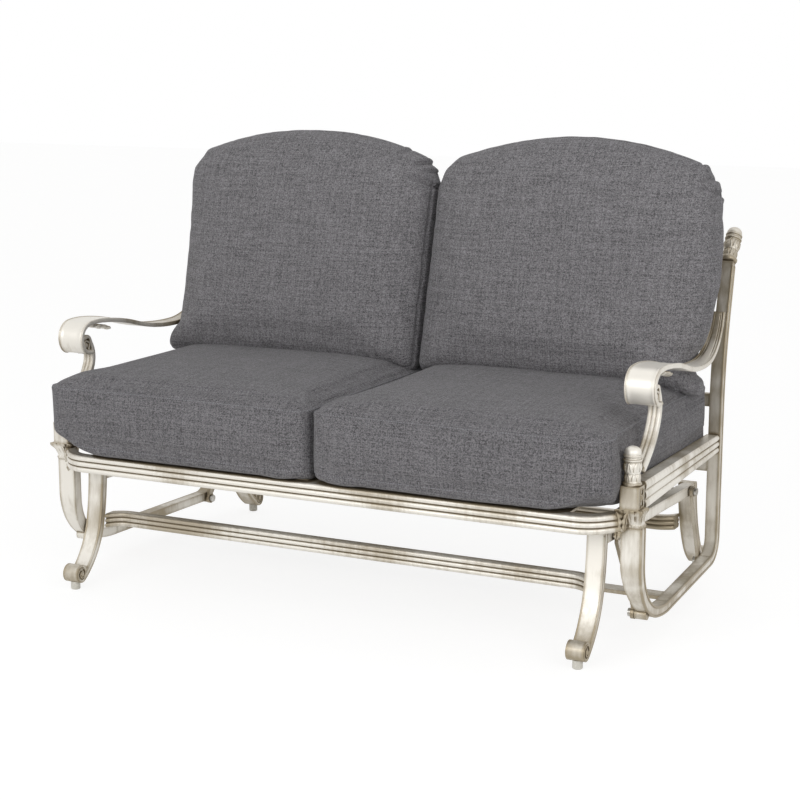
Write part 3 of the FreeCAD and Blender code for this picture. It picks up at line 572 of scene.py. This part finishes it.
def arm_height(y):
    """The height of the middle of the armrest's band above a place along it, behind its scroll."""
    line = ((-200, 607), (-60, 582), (60, 566), (150, 557), (219, 571), (262, 605), (290, 655))
    return between(line, y / MM) * MM


def clear_of_arm(obj):
    """Press a right back cushion in where the armrest runs along it and where the two cushions meet."""
    for vertex in obj.data.vertices:
        co = vertex.co
        co.x = max(co.x, 0.8 * MM)
        if co.x > 640 * MM and co.y < 300 * MM:
            away = max(abs(co.z - arm_height(co.y)) - 7 * MM, 0.0)
            co.x = min(co.x, 678.5 * MM + away * 1.5)


FRAMES = 14
CLOTH = {
    "quality": 5, "mass": 0.25, "tension_stiffness": 18, "compression_stiffness": 18,
    "shear_stiffness": 6, "bending_stiffness": 0.6, "use_pressure": True, "uniform_pressure_force": 3.0,
}


def filled(form, name, voxel, cap, flat_below):
    """Fill the form like a cushion: cloth under pressure, with no point moving further than the cap."""
    modify(form, "even", "REMESH", mode="VOXEL", voxel_size=voxel)
    mesh = evaluated(form)
    bpy.data.objects.remove(form)
    obj = link(bpy.data.objects.new(name, mesh))
    start = [(vertex.co.copy(), vertex.normal.copy()) for vertex in mesh.vertices]
    cloth = modify(obj, "filling", "CLOTH")
    assign(cloth.settings, CLOTH).effector_weights.gravity = 0
    cloth.collision_settings.use_collision = False
    assign(cloth.point_cache, {"frame_start": 1, "frame_end": FRAMES})
    for frame_number in range(1, FRAMES + 1):
        bpy.context.scene.frame_set(frame_number)
    swollen = evaluated(obj)
    obj.modifiers.clear()
    for vertex, (first, normal), last in zip(mesh.vertices, start, swollen.vertices):
        shift = last.co - first
        # What sinks in moves little, so that the form keeps its outline
        if shift.dot(normal) < 0:
            shift *= 0.2
        if shift.length > cap:
            shift = shift.normalized() * cap
        vertex.co = first + shift
    bpy.data.meshes.remove(swollen)
    bpy.context.scene.frame_set(1)
    for vertex in mesh.vertices:
        vertex.co.z = max(vertex.co.z, flat_below)
    modify(obj, "finer", "SUBSURF", levels=1, render_levels=1)
    finer = evaluated(obj)
    obj.modifiers.clear()
    obj.data = finer
    bpy.data.meshes.remove(mesh)
    shade(finer)
    return obj


def seat_detail(obj, seed):
    """Seams at the top and bottom of the border, and the faint dents of use."""
    mesh = obj.data
    for vertex in mesh.vertices:
        co = vertex.co
        # Clear of the lower back rail, the side rails and the posts
        co.y = min(co.y, 295 * MM - 6.5 * MM * smoothstep(412 * MM, 424 * MM, co.z))
        side_limit = 701 * MM - 21 * MM * smoothstep(-290 * MM, 286 * MM, co.y)
        above_rail = smoothstep(384 * MM, 400 * MM, co.z) * (1 - smoothstep(262 * MM, 280 * MM, co.y))
        co.x = math.copysign(min(abs(co.x), side_limit + 9 * MM * above_rail), co.x)
    normals = [vertex.normal.copy() for vertex in mesh.vertices]
    top_seam = SEAT_Z + SEAT_BORDER
    low_seam = SEAT_Z + 24 * MM
    for vertex, normal in zip(mesh.vertices, normals):
        co = vertex.co
        side = 1 - smoothstep(0.55, 0.95, abs(normal.z))
        shift = -2.6 * MM * bell(co.z, top_seam, 3.4 * MM)
        shift += 1.1 * MM * bell(co.z, top_seam - 8 * MM, 5.0 * MM) * side
        shift -= 1.5 * MM * bell(co.z, low_seam, 3.2 * MM) * side
        dents = Vector((co.x * 5.0 + seed, co.y * 5.0, co.z * 9.0))
        shift += 2.2 * MM * noise.noise(dents)
        puckers = Vector((co.x * 38.0 + seed, co.y * 38.0, co.z * 6.0))
        shift += 1.1 * MM * noise.noise(puckers) * bell(co.z, top_seam, 26 * MM) * side
        vertex.co = co + normal * shift
    mesh.update()


STITCH_RAYS = 2400


def stitch_line(name, obj, height, radius, gap, length):
    """Topstitches that lie on a cushion's border at a height, as a dashed thread."""
    tree = BVHTree.FromObject(obj, bpy.context.evaluated_depsgraph_get())
    low = min(vertex.co.x for vertex in obj.data.vertices)
    high = max(vertex.co.x for vertex in obj.data.vertices)
    centre = Vector(((low + high) / 2, -80 * MM, height))
    hits = []
    for i in range(STITCH_RAYS):
        angle = 2 * math.pi * i / STITCH_RAYS
        outside = centre + Vector((math.cos(angle), math.sin(angle), 0)) * 0.8
        place, normal, _, _ = tree.ray_cast(outside, centre - outside)
        if place is not None:
            hits.append(place + normal * radius * 0.4)
    travelled, stitch = 0.0, []
    stitches = []
    for before, after in zip(hits, hits[1:]):
        travelled += (after - before).length
        if travelled % (gap + length) < length:
            stitch.append(after)
        elif stitch:
            stitches.append(stitch)
            stitch = []
    bm = bmesh.new()
    for stitch in stitches:
        start, end = stitch[0], stitch[-1]
        along = end - start
        if len(stitch) < 2 or along.length > length * 2:
            continue
        thread = bmesh.ops.create_cone(
            bm, cap_ends=True, segments=6, radius1=radius, radius2=radius, depth=along.length
        )
        turn = along.to_track_quat("Z", "Y").to_matrix().to_4x4()
        middle = Matrix.Translation((start + end) / 2)
        bmesh.ops.transform(bm, matrix=middle @ turn, verts=thread["verts"])
    return from_bmesh(name, bm)


def line_offset(point, start, end):
    """How far a point lies to the side of a line in the plane, and its share along it."""
    along = (end[0] - start[0], end[1] - start[1])
    length = math.hypot(*along)
    offset = (point[0] - start[0], point[1] - start[1])
    share = (offset[0] * along[0] + offset[1] * along[1]) / length**2
    across = (offset[1] * along[0] - offset[0] * along[1]) / length
    return across, share


# Folds of the back cushions: start, end, depth and width, in millimetres on their leaned front. X
# runs from the middle towards the arm, and the height from the lower edge.
OUTER_FOLDS = (
    ((358, 462), (300, 470), 7.5, 5.0),
    ((346, 508), (304, 480), 6.0, 5.0),
    ((304, 540), (282, 508), 5.0, 5.0),
    ((310, 4), (300, 34), 4.0, 5.0),
)
INNER_FOLDS = (
    ((-357, 450), (-292, 470), 8.5, 5.0),
    ((-336, 522), (-298, 494), 9.0, 5.0),
    ((-270, 556), (-256, 520), 6.0, 5.0),
    ((-357, 492), (-316, 486), 6.5, 4.5),
    ((-250, 2), (-243, 26), 5.0, 4.5),
    ((-140, 0), (-136, 24), 5.0, 4.5),
    ((-30, 0), (-27, 22), 5.0, 4.5),
    ((80, 0), (82, 22), 5.0, 4.5),
)


def back_detail(obj, seed, folds):
    """The border seams, gathered folds at the shoulders and soft dents of a back cushion."""
    back = BACK_PLACE.inverted()
    mesh = obj.data
    normals = [vertex.normal.copy() for vertex in mesh.vertices]
    turn = back.to_3x3()
    for vertex, normal in zip(mesh.vertices, normals):
        local = back @ vertex.co
        facing = turn @ normal
        shift = 0.0
        x, height = local.x / MM, local.z / MM
        if facing.y < 0.35:
            for start, end, depth, width in folds:
                across, share = line_offset((x, height), start, end)
                if -0.4 < share < 1.25 and abs(across) < width * 4:
                    fade = smoothstep(-0.4, 0.0, share) * (1 - smoothstep(0.6, 1.25, share))
                    notch = -depth * bell(across, 0, width)
                    lip = depth * 0.45 * bell(across, width * 1.9, width * 1.2)
                    shift += (notch + lip) * fade * MM
        shift += 3.2 * MM * noise.noise(Vector((local.x * 4.2 + seed, local.y * 4.2, local.z * 4.2)))
        rim = abs(facing.y)
        shift -= 3.0 * MM * bell(rim, 0.40, 0.050)
        gather = noise.noise(Vector((local.x * 30.0, local.y * 9.0 + seed, local.z * 30.0)))
        shift += 1.5 * MM * gather * bell(rim, 0.45, 0.28)
        vertex.co += normal * shift
    mesh.update()


def seat_cover(name):
    return filled(seat_form(), name, voxel=6.5 * MM, cap=9 * MM, flat_below=SEAT_Z + 0.8 * MM)


def back_cover(name, edge, seed, folds):
    """A back cushion of the right side, clear of the armrest."""
    cover = filled(back_form(edge), name, voxel=6.0 * MM, cap=12 * MM, flat_below=0.0)
    back_detail(cover, seed, folds)
    clear_of_arm(cover)
    return cover


seat_right = seat_cover("seat_cushion_cover_right")
seat_left = mirrored(seat_right, "seat_cushion_cover_left")
seat_detail(seat_right, 3.7)
seat_detail(seat_left, 21.4)

back_right = back_cover("back_cushion_cover_right", RIGHT_EDGE, 5.1, OUTER_FOLDS)
# The left cushion is made as a right one, with its own folds, and then mirrored
back_twin = back_cover("back_twin", LEFT_EDGE, 15.8, INNER_FOLDS)
back_left = mirrored(back_twin, "back_cushion_cover_left")
bpy.data.objects.remove(back_twin)

# The two lines of topstitches on a seat cushion's border
STITCH_HEIGHTS = (("top", SEAT_Z + SEAT_BORDER - 4.5 * MM), ("low", SEAT_Z + 28.5 * MM))
for side, cover in (("right", seat_right), ("left", seat_left)):
    finish_piece(cover, SEAT_CLOTH, "seat", [f"seat_cushion_{side}"])
    for label, height in STITCH_HEIGHTS:
        name = f"seat_{label}_stitches_{side}"
        stitches = stitch_line(name, cover, height, radius=0.7 * MM, gap=1.8 * MM, length=4.2 * MM)
        finish_piece(stitches, THREAD, "seat")
for side, cover in (("right", back_right), ("left", back_left)):
    finish_piece(cover, BACK_CLOTH, "seat", [f"back_cushion_{side}"])


# ---- cast ornament


def bar_line(points, heading, widths):
    """Places (y, z, direction, half width) along a curved bar, on the tangent arcs of the CAD model."""
    line = []
    direction = math.radians(heading)
    for i in range(len(points) - 1):
        (y0, z0), (y1, z1) = points[i], points[i + 1]
        chord = math.atan2(z1 - z0, y1 - y0)
        length = math.hypot(y1 - y0, z1 - z0)
        half_turn = math.remainder(chord - direction, 2 * math.pi)
        count = max(3, round(length / 4))
        for j in range(count + (i == len(points) - 2)):
            share = j / count
            angle = direction + 2 * half_turn * share
            if abs(half_turn) < 1e-4:
                y, z = y0 + (y1 - y0) * share, z0 + (z1 - z0) * share
            else:
                radius = length / (2 * math.sin(half_turn))
                y = y0 + radius * (math.sin(angle) - math.sin(direction))
                z = z0 - radius * (math.cos(angle) - math.cos(direction))
            line.append((y, z, angle, (widths[i] + (widths[i + 1] - widths[i]) * share) / 2))
        direction += 2 * half_turn
    return line


def spiral(centre, radius, end_radius, start, sweep, steps):
    """Points on a spiral in the YZ plane, after its start."""
    points = []
    for i in range(1, steps + 1):
        angle = math.radians(start + sweep * i / steps)
        reach = radius + (end_radius - radius) * i / steps
        points.append((centre[0] + reach * math.cos(angle), centre[1] + reach * math.sin(angle)))
    return points


def off_line(place, x, offset):
    """A point beside the middle of a bar, in metres."""
    y, z, direction, _ = place
    return mm(x, y - offset * math.sin(direction), z + offset * math.cos(direction))


def reeded_bar(name, line, x_low, x_high, reeds, dip):
    """A bar along the line with reeds on both of its broad faces."""
    count = 8 * reeds
    rings = []
    for place in line:
        face = []
        for i in range(count + 1):
            height = 1 - dip * (1 - abs(math.sin(math.pi * reeds * i / count)) ** 0.8)
            face.append((x_low + (x_high - x_low) * i / count, height))
        ring = [off_line(place, x, place[3] * height) for x, height in face]
        ring += [off_line(place, x, -place[3] * height) for x, height in reversed(face)]
        rings.append(ring)
    return ring_mesh(name, rings)


def rim(name, line, x_at, side, inset, radius):
    """A thin raised line along one edge of a bar. side is 1 or -1 and x_at gives X for a place's Y."""
    points = [off_line(place, x_at(place[0]), side * (place[3] - inset)) for place in line]
    return tube(name, points, radius * MM)


def smooth_line(points, steps=5):
    """The points with a smooth curve run through them."""
    result = []
    for i in range(len(points) - 1):
        before = points[max(i - 1, 0)]
        after = points[min(i + 2, len(points) - 1)]
        for j in range(steps):
            t = j / steps
            point = []
            for a, b, c, d in zip(before, points[i], points[i + 1], after):
                bend = (2 * a - 5 * b + 4 * c - d) * t**2 + (3 * b - a - 3 * c + d) * t**3
                point.append(0.5 * (2 * b + (c - a) * t + bend))
            result.append(tuple(point))
    return result + [points[-1]]


def turned(name, profile, place, relief=None, sides=72):
    """A turned piece from (height, radius) points in millimetres, with a relief cut into it."""
    rings = []
    for height, radius in smooth_line(profile):
        ring = []
        for j in range(sides):
            angle = 2 * math.pi * j / sides
            reach = max(radius, 0.3) + (relief(angle, height) if relief else 0.0)
            ring.append(mm(reach * math.cos(angle), reach * math.sin(angle), height))
        rings.append(ring)
    obj = ring_mesh(name, rings)
    obj.data.transform(place)
    return obj


def leafy(count, low, high, depth, phase=0.0):
    """A relief of upright pointed leaves round a turned piece, between two heights."""

    def relief(angle, height):
        share = (height - low) / (high - low)
        if not 0 < share < 1:
            return 0.0
        across = abs(((angle / (2 * math.pi) * count + phase) % 1) - 0.5) * 2
        edge = 1 - 0.85 * share**2.2
        gap = smoothstep(edge - 0.20, edge + 0.04, across)
        vein = bell(across, 0, 0.13)
        ribs = 0.5 - 0.5 * math.cos(2 * math.pi * (across * 1.6 + share * 1.2))
        fade = smoothstep(0.0, 0.10, share) * (1 - smoothstep(0.90, 1.0, share))
        return -depth * fade * max(gap, 0.55 * vein, 0.35 * ribs * (1 - gap))

    return relief


def leaf(name, place, length, width, lobes, thick, curl, blunt=0.0):
    """An acanthus leaf along +Y, with its ribs towards +Z and its tip curled up. Sizes are in
    millimetres, curl in degrees, and blunt is how much of the pointed tip is left out."""
    rows, half_cols = 44, 9
    rings = []
    y, z = 0.0, 0.0
    for i in range(rows + 1):
        share = i / rows
        angle = math.radians(curl) * share**2
        y += length / rows * math.cos(angle)
        z += length / rows * math.sin(angle)
        body = math.sin(math.pi * (0.12 + (0.88 - blunt) * share)) ** 0.8 + 0.02
        lobe = 0.5 + 0.5 * math.cos(2 * math.pi * (lobes * share + 0.1))
        half = width / 2 * body * (1 - 0.30 * (1 - blunt * 2 * share) * lobe)
        ring = []
        for j in range(-half_cols, half_cols + 1):
            t = j / half_cols
            ribs = 0.5 + 0.5 * math.cos(2 * math.pi * (lobes * (share + 0.16 * abs(t)) + 0.6))
            rise = thick * ((1 - t * t) * 0.55 + 0.45 * ribs * abs(t) ** 0.5 * (1 - t**6))
            rise -= thick * 0.45 * bell(t, 0, 0.14)
            lift = 0.4 + rise * (0.35 + 0.65 * math.sin(math.pi * (0.15 + 0.8 * share)))
            ring.append(mm(t * half, y - lift * math.sin(angle), z + lift * math.cos(angle)))
        for j in range(half_cols, -half_cols - 1, -1):
            t = j / half_cols
            ring.append(mm(t * half * 0.94, y + 0.8 * math.sin(angle), z - 0.8 * math.cos(angle)))
        rings.append(ring)
    obj = ring_mesh(name, rings)
    obj.data.transform(place)
    return obj


def frame_of(origin, y_axis, z_axis):
    """A placing matrix from an origin in millimetres and two directions."""
    y_axis = Vector(y_axis).normalized()
    z_axis = (Vector(z_axis) - y_axis * y_axis.dot(Vector(z_axis))).normalized()
    x_axis = y_axis.cross(z_axis)
    turn = Matrix((x_axis, y_axis, z_axis)).transposed().to_4x4()
    return Matrix.Translation(mm(*origin)) @ turn


def leaf_collar():
    """The leaf collar under the front post's block: beads, a waist and a flaring lip of eight leaves."""
    # Height, half width along x and y, and 1 where there are beads
    profile = (
        (-2, 21.8, 12.9, 0), (-1, 24.2, 15.6, 1), (4.5, 24.6, 16.0, 1), (6.4, 22.6, 14.4, 0),
        (9, 22.0, 14.2, 0), (15, 22.4, 15.2, 0), (22, 24.0, 17.0, 0), (29, 26.4, 19.2, 0),
        (34, 28.2, 20.6, 0), (38.5, 28.6, 20.9, 0), (41.0, 27.4, 20.0, 0), (42.0, 24.0, 18.0, 0),
        (42.2, 20.0, 16.0, 0),
    )
    count = 36
    rings = []
    for height, half_x, half_y, beads in smooth_line(profile, 4):
        share = height / 42
        upper = smoothstep(0.15, 0.5, share)
        lip = smoothstep(0.55, 0.85, share) * (1 - smoothstep(0.96, 1.0, share))
        middle = -309 - 13 * min(max(share, 0), 1)
        ring = []
        for side in range(4):
            for i in range(count):
                f = -1 + 2 * i / count
                reach = abs(f)
                gap = bell(reach, 0.55, 0.10)
                vein = bell(f, 0, 0.07) + 0.6 * bell(reach, 0.82, 0.05)
                scale = 1 - upper * (0.23 * gap + 0.09 * vein)
                scale -= 0.06 * smoothstep(0.78, 1.0, reach) * (1 - lip)
                scale += 0.05 * lip * smoothstep(0.7, 1.0, reach)
                scale -= 0.08 * beads * abs(math.cos(math.pi * f * (3.5 if side % 2 else 2.5))) ** 2
                across = f * scale
                x, y = ((1, across), (-across, 1), (-1, -across), (across, -1))[side]
                x, y = (x * scale, y) if side % 2 == 0 else (x, y * scale)
                z = 289 + height - 5.5 * lip * gap
                ring.append(mm(POST_X + x * half_x, middle + y * half_y, z))
        rings.append(ring)
    return ring_mesh("front_post_leaf_collar", rings)


def vase_and_dome(name, height, place):
    """The turned top of a post: a leafed drum and vase under a ringed dome."""
    # Shares of the height and of the radius
    shape = (
        (0, 0.93), (0.03, 0.99), (0.07, 0.99), (0.09, 0.88), (0.12, 0.86), (0.20, 0.89), (0.29, 0.86),
        (0.33, 0.83), (0.37, 0.91), (0.44, 0.99), (0.53, 1.0), (0.59, 0.94), (0.615, 0.86), (0.63, 0.97),
        (0.665, 0.99), (0.685, 0.88), (0.71, 0.85), (0.73, 0.87), (0.745, 0.96), (0.775, 0.97),
        (0.79, 0.87), (0.83, 0.88), (0.88, 0.84), (0.93, 0.71), (0.97, 0.48), (0.99, 0.26), (1.0, 0.03),
    )
    profile = [(share * height, part * POST_RADIUS) for share, part in shape]
    drum = leafy(9, 0.11 * height, 0.32 * height, 2.2)
    vase = leafy(7, 0.35 * height, 0.61 * height, 3.0, 0.3)
    return turned(name, profile, place, lambda angle, h: drum(angle, h) + vase(angle, h), 98)


# X of the armrest's two edges and of the loop's outer face, at a place along them
def arm_outer(y):
    return 746 if y < -140 else 746 - 34 * (y + 140) / 457


def arm_inner(y):
    return 676 if y < -140 else 676 + 5 * (y + 140) / 290


def loop_outer(y):
    return 733 if y < -130 else 733 - 21 * min((y + 130) / 378, 1)


def leg_line(top):
    points = [(-306, top), (-320, 150), (-352, 76), (-400, 26)]
    return bar_line(points, -92, [18, 17, 16, 13])


def arm_support():
    """The reeded bar from the seat's rail to the armrest, with the web and eye of its volute."""
    volute, coil = (-236, 550), 22.75
    points = [(-303, 409), (-256, 441), (-211.25, 498), (-213.25, 550)]
    points += spiral(volute, coil, 7.5, start=0, sweep=560, steps=14)
    widths = [17, 17, 15.3, 12.5] + [9.5 - 4.5 * i / 13 for i in range(14)]
    bar = reeded_bar("support_bar", bar_line(points, 30, widths), 703, 731, reeds=3, dip=0.34)
    across = frame_of((0, *volute), (0, 0, 1), (1, 0, 0))
    web = [(710, 5), (710.4, 19), (711, 20), (723, 20), (723.6, 19), (724, 5)]
    eye = [(702.6, 1), (703, 4.5), (704.5, 6.6), (706, 7.2)]
    eye += [(728, 7.2), (729.5, 6.6), (731, 4.5), (731.4, 1)]
    return join("arm_support_scroll", [bar, turned("web", web, across), turned("eye", eye, across)])


def armrest():
    """The armrest's band, with a raised rim along each edge, and its scroll."""
    points = [(290, 655), (223, 575), (150, 557.5), (-60, 582.5), (-200, 607.5), (-250, 607.4)]
    points += spiral((-250, 570), 37.5, 31.5, start=90, sweep=196, steps=5)
    line = bar_line(points, -105, [9] * 8 + [8.6, 8, 6])
    # Across the band: the distance from an edge, and the share of the half width
    rim_line = (
        (0.0, 0.0), (0.2, -0.8), (0.9, -1.32), (2.0, -1.46), (3.1, -1.36), (4.2, -1.02), (6.0, -1.0),
        (6.8, -1.12), (7.8, -1.15), (8.8, -1.1), (9.8, -0.97),
    )
    under = ((2.6, 1.0), (0.9, 0.82))
    rings = []
    for place in line:
        low, high, half = arm_inner(place[0]), arm_outer(place[0]), place[3]
        section = [(low + x, n) for x, n in rim_line]
        for i in range(2, 7):
            section.append((low + (high - low) * i / 8, -(0.97 + 0.06 * math.sin(math.pi * i / 8))))
        section += [(high - x, n) for x, n in reversed(rim_line)]
        section += [(high - x, n) for x, n in reversed(under)] + [(low + x, n) for x, n in under]
        rings.append([off_line(place, x, n * half) for x, n in section])
    return ring_mesh("armrest_band", rings)


def block_rosette():
    """The rosette on the outer face of the front post's block, in its square of thin lines."""
    profile = [
        (-1.0, 9.6), (0.6, 9.6), (1.8, 8.6), (2.4, 6.6), (1.9, 4.4), (2.6, 3.6), (3.4, 2.0), (3.6, 0.3),
    ]

    def petals(angle, height):
        return -1.5 * abs(math.sin(3 * angle)) if height < 2 else 0.0

    pieces = [turned("rosette", profile, frame_of((730, POST_Y, 354), (0, 0, 1), (1, 0, 0)), petals)]
    y_ends, z_ends = (POST_Y - 9, POST_Y + 9), (335, 373)
    lines = [[(y, z) for z in z_ends] for y in y_ends] + [[(y, z) for y in y_ends] for z in z_ends]
    for line in lines:
        pieces.append(tube("line", [mm(732, y, z) for y, z in line], 1.1 * MM))
    return join("post_block_rosette", pieces)


def apron_end_leaf():
    """Three leaves on the apron's rounded end, beside the collar."""
    outward = Vector((0.1, -1, 0))
    tall = frame_of((688, -342, 281), (0, 0, 1), outward)
    low = frame_of((688, -342, 286), (0, 0, -1), outward)
    side = frame_of((700, -335, 284), (0, 0, 1), (0.9, -0.5, 0))
    leaves = [
        leaf("tall", tall, length=47, width=21, lobes=3, thick=7.0, curl=38),
        leaf("low", low, length=20, width=19, lobes=2, thick=6.0, curl=30),
        leaf("side", side, length=42, width=17, lobes=3, thick=6.0, curl=38),
    ]
    return join("apron_end_leaf", leaves)


def loop_rims():
    """The raised lines along both edges of the loop's outer face, from the apron to the back post."""
    front = [(-309, 286), (-309, 208), (-258, 103.95), (-200, 76.65), (-130, 68.95)]
    rear = [(-130, 68.95), (248, 68.95), (297, 117.95), (299, 430), (325, 640), (352, 755)]
    line = bar_line(front, -90, [26, 26, 26, 24, 22]) + bar_line(rear, 0, [22] * 6)[1:]
    rims = [rim("loop_rim", line, lambda y: loop_outer(y) - 0.4, side, 2.2, 2.6) for side in (1, -1)]
    return join("loop_rims", rims)


def side_ornament():
    """Every ornament of the right side that rides on the seat, as (piece, replaced node or None)."""
    on_post = Matrix.Translation(mm(POST_X, POST_Y, 379))
    on_back = Matrix.Translation(BACK_POST) @ Matrix.Rotation(-FINIAL_TILT, 4, "X")
    under_arm = frame_of((POST_X, -232, 602), (0, 1, -0.10), (0, -0.10, -1))
    under_leaf = {"length": 76, "width": 62, "lobes": 4, "thick": 13.0, "curl": 26, "blunt": 0.32}
    return [
        (arm_support(), "arm_support"),
        (armrest(), "armrest"),
        (vase_and_dome("front_post_vase", 83, on_post), "front_post_cap"),
        (vase_and_dome("back_post_vase", 90, on_back), "post_finial"),
        (leaf_collar(), "front_post_collar"),
        (block_rosette(), None),
        (leaf("under_arm_leaf", under_arm, **under_leaf), None),
        (apron_end_leaf(), None),
        (loop_rims(), None),
    ]


def leg_ornament():
    """The rims and volutes of the front right leg and of the rear right one."""
    button = [(-1.6, 5.6), (0.6, 5.4), (1.7, 4.2), (2.3, 2.4), (2.5, 0.3)]
    pieces = []
    for label, top in (("front", 262), ("rear", 236)):
        line = leg_line(top)
        edges = [(x, side) for x in (613.4, 650.6) for side in (1, -1)]
        rims = [rim("leg_rim", line, lambda y: x, side, 1.6, 2.3) for x, side in edges]
        for x in LEG_FACES:
            coil = spiral(FOOT_VOLUTE, 19.4, 5.0, start=-100, sweep=-520, steps=60)
            rims.append(tube("coil", [mm(x, y, z) for y, z in coil], 1.7 * MM))
            outward = 1 if x == LEG_FACES[1] else -1
            place = frame_of((x, *FOOT_VOLUTE), (0, 0, 1), (outward, 0, 0))
            rims.append(turned("button", button, place, sides=32))
        piece = join(f"{label}_leg_scrollwork", rims)
        if label == "rear":
            flip(piece, MIRROR_Y)
        pieces.append((piece, None))
    return pieces


def stretcher_reeds(name):
    """Reeds on the inner side of the rear stretcher, which follow its bent ends to the legs."""
    turns = [math.radians(a) for a in range(2, 46, 4)]
    end = [(564.8 + 68 * math.sin(t), 329 - 68 * math.cos(t)) for t in turns]
    plan = [(-x, y) for x, y in reversed(end)] + [(x, 261) for x in (-560, -280, 0, 280, 560)] + end
    lines = [[mm(x, y, z) for x, y in plan] for z in (132.7, 144, 155.3)]
    return join(name, [tube("reed", line, 5.8 * MM, sides=12) for line in lines])


rear_reeds = stretcher_reeds("stretcher_reeds_rear")
front_reeds = mirrored(rear_reeds, "stretcher_reeds_front", MIRROR_Y)
for piece in (rear_reeds, front_reeds):
    finish_piece(piece, FRAME_FINISH, "base")
for body, ornament in (("seat", side_ornament), ("base", leg_ornament)):
    for piece, replaced in ornament():
        name = piece.name
        other = mirrored(piece, f"{name}_left")
        piece.name = f"{name}_right"
        for side, obj in (("right", piece), ("left", other)):
            nodes = [f"{replaced}_{side}"] if replaced else ()
            finish_piece(obj, FRAME_FINISH, body, nodes)


# ---- floor, light and camera


FLOOR_HALF = 14
FLOOR_GLOW, FLOOR_GLOW_SHARE = 1.17, 0.72
# How brightly the white surroundings light the bench. The camera sees them in full.
WORLD_STRENGTH = 0.55


def floor_material():
    """White to the camera, with the object's shadow kept on it."""
    n = Nodes(bpy.data.materials.new("floor"))
    grain = n.ramp(n.noise(3.0, 2.0, 0.5), 0.3, 0.7, 0.86, 0.94)
    n.set(n.shader, {"Base Color": (0.84, 0.84, 0.83, 1), "Roughness": grain})
    glow = n.node("Emission")
    n.set(glow, {"Color": (1, 1, 1, 1), "Strength": FLOOR_GLOW})
    mixed = n.node("MixShader")
    n.set(mixed, {0: n.times(n.seen(), FLOOR_GLOW_SHARE), 1: n.shader.outputs[0], 2: glow.outputs[0]})
    n.link(mixed.outputs[0], n.tree.nodes["Material Output"].inputs[0])
    return n.owner


corners = [(x * FLOOR_HALF, y * FLOOR_HALF, 0) for x, y in ((-1, -1), (1, -1), (1, 1), (-1, 1))]
floor = mesh_object("floor", corners, [(0, 1, 2, 3)], smooth=False)
floor.data.materials.append(floor_material())

studio = Nodes(bpy.data.worlds.new("studio"))
bpy.context.scene.world = studio.owner
strength = studio.ramp(studio.seen(), 0.0, 1.0, WORLD_STRENGTH, 1.0)
studio.set(studio.tree.nodes["Background"], {"Color": (1, 1, 1, 1), "Strength": strength})

# The name, place, target, width, height and watts of each lamp
LAMPS = (
    ("key", (-0.5, -4.2, 2.1), (0, 0, 0.5), 3.0, 1.8, 53),
    ("fill", (3.4, -2.2, 2.0), (0, 0, 0.5), 2.4, 1.8, 34),
    ("top", (0.2, 0.6, 3.6), (0, 0, 0.4), 2.4, 1.6, 3),
)
for name, place, target, width, height, watts in LAMPS:
    light = bpy.data.lights.new(name, "AREA")
    light.shape = "RECTANGLE"
    light.size, light.size_y = width, height
    light.energy = watts
    lamp = link(bpy.data.objects.new(name, light))
    lamp.location = place
    lamp.rotation_euler = (Vector(target) - Vector(place)).to_track_quat("-Z", "Y").to_euler()

# The photo's camera, solved from the frame's edges and pivots. Angles are in degrees.
CAMERA_PLACE = (1.9332, -3.8550, 1.2911)
LOOKS_DOWN, TURNED_LEFT = 11.2015, 26.3924
optics = bpy.data.cameras.new("camera")
optics.lens = 83.80
optics.sensor_width = 36
camera = link(bpy.data.objects.new("camera", optics))
camera.location = CAMERA_PLACE
camera.rotation_euler = (math.pi / 2 - math.radians(LOOKS_DOWN), 0, math.radians(TURNED_LEFT))
bpy.context.scene.camera = camera

bpy.context.scene.view_settings.view_transform = "Standard"
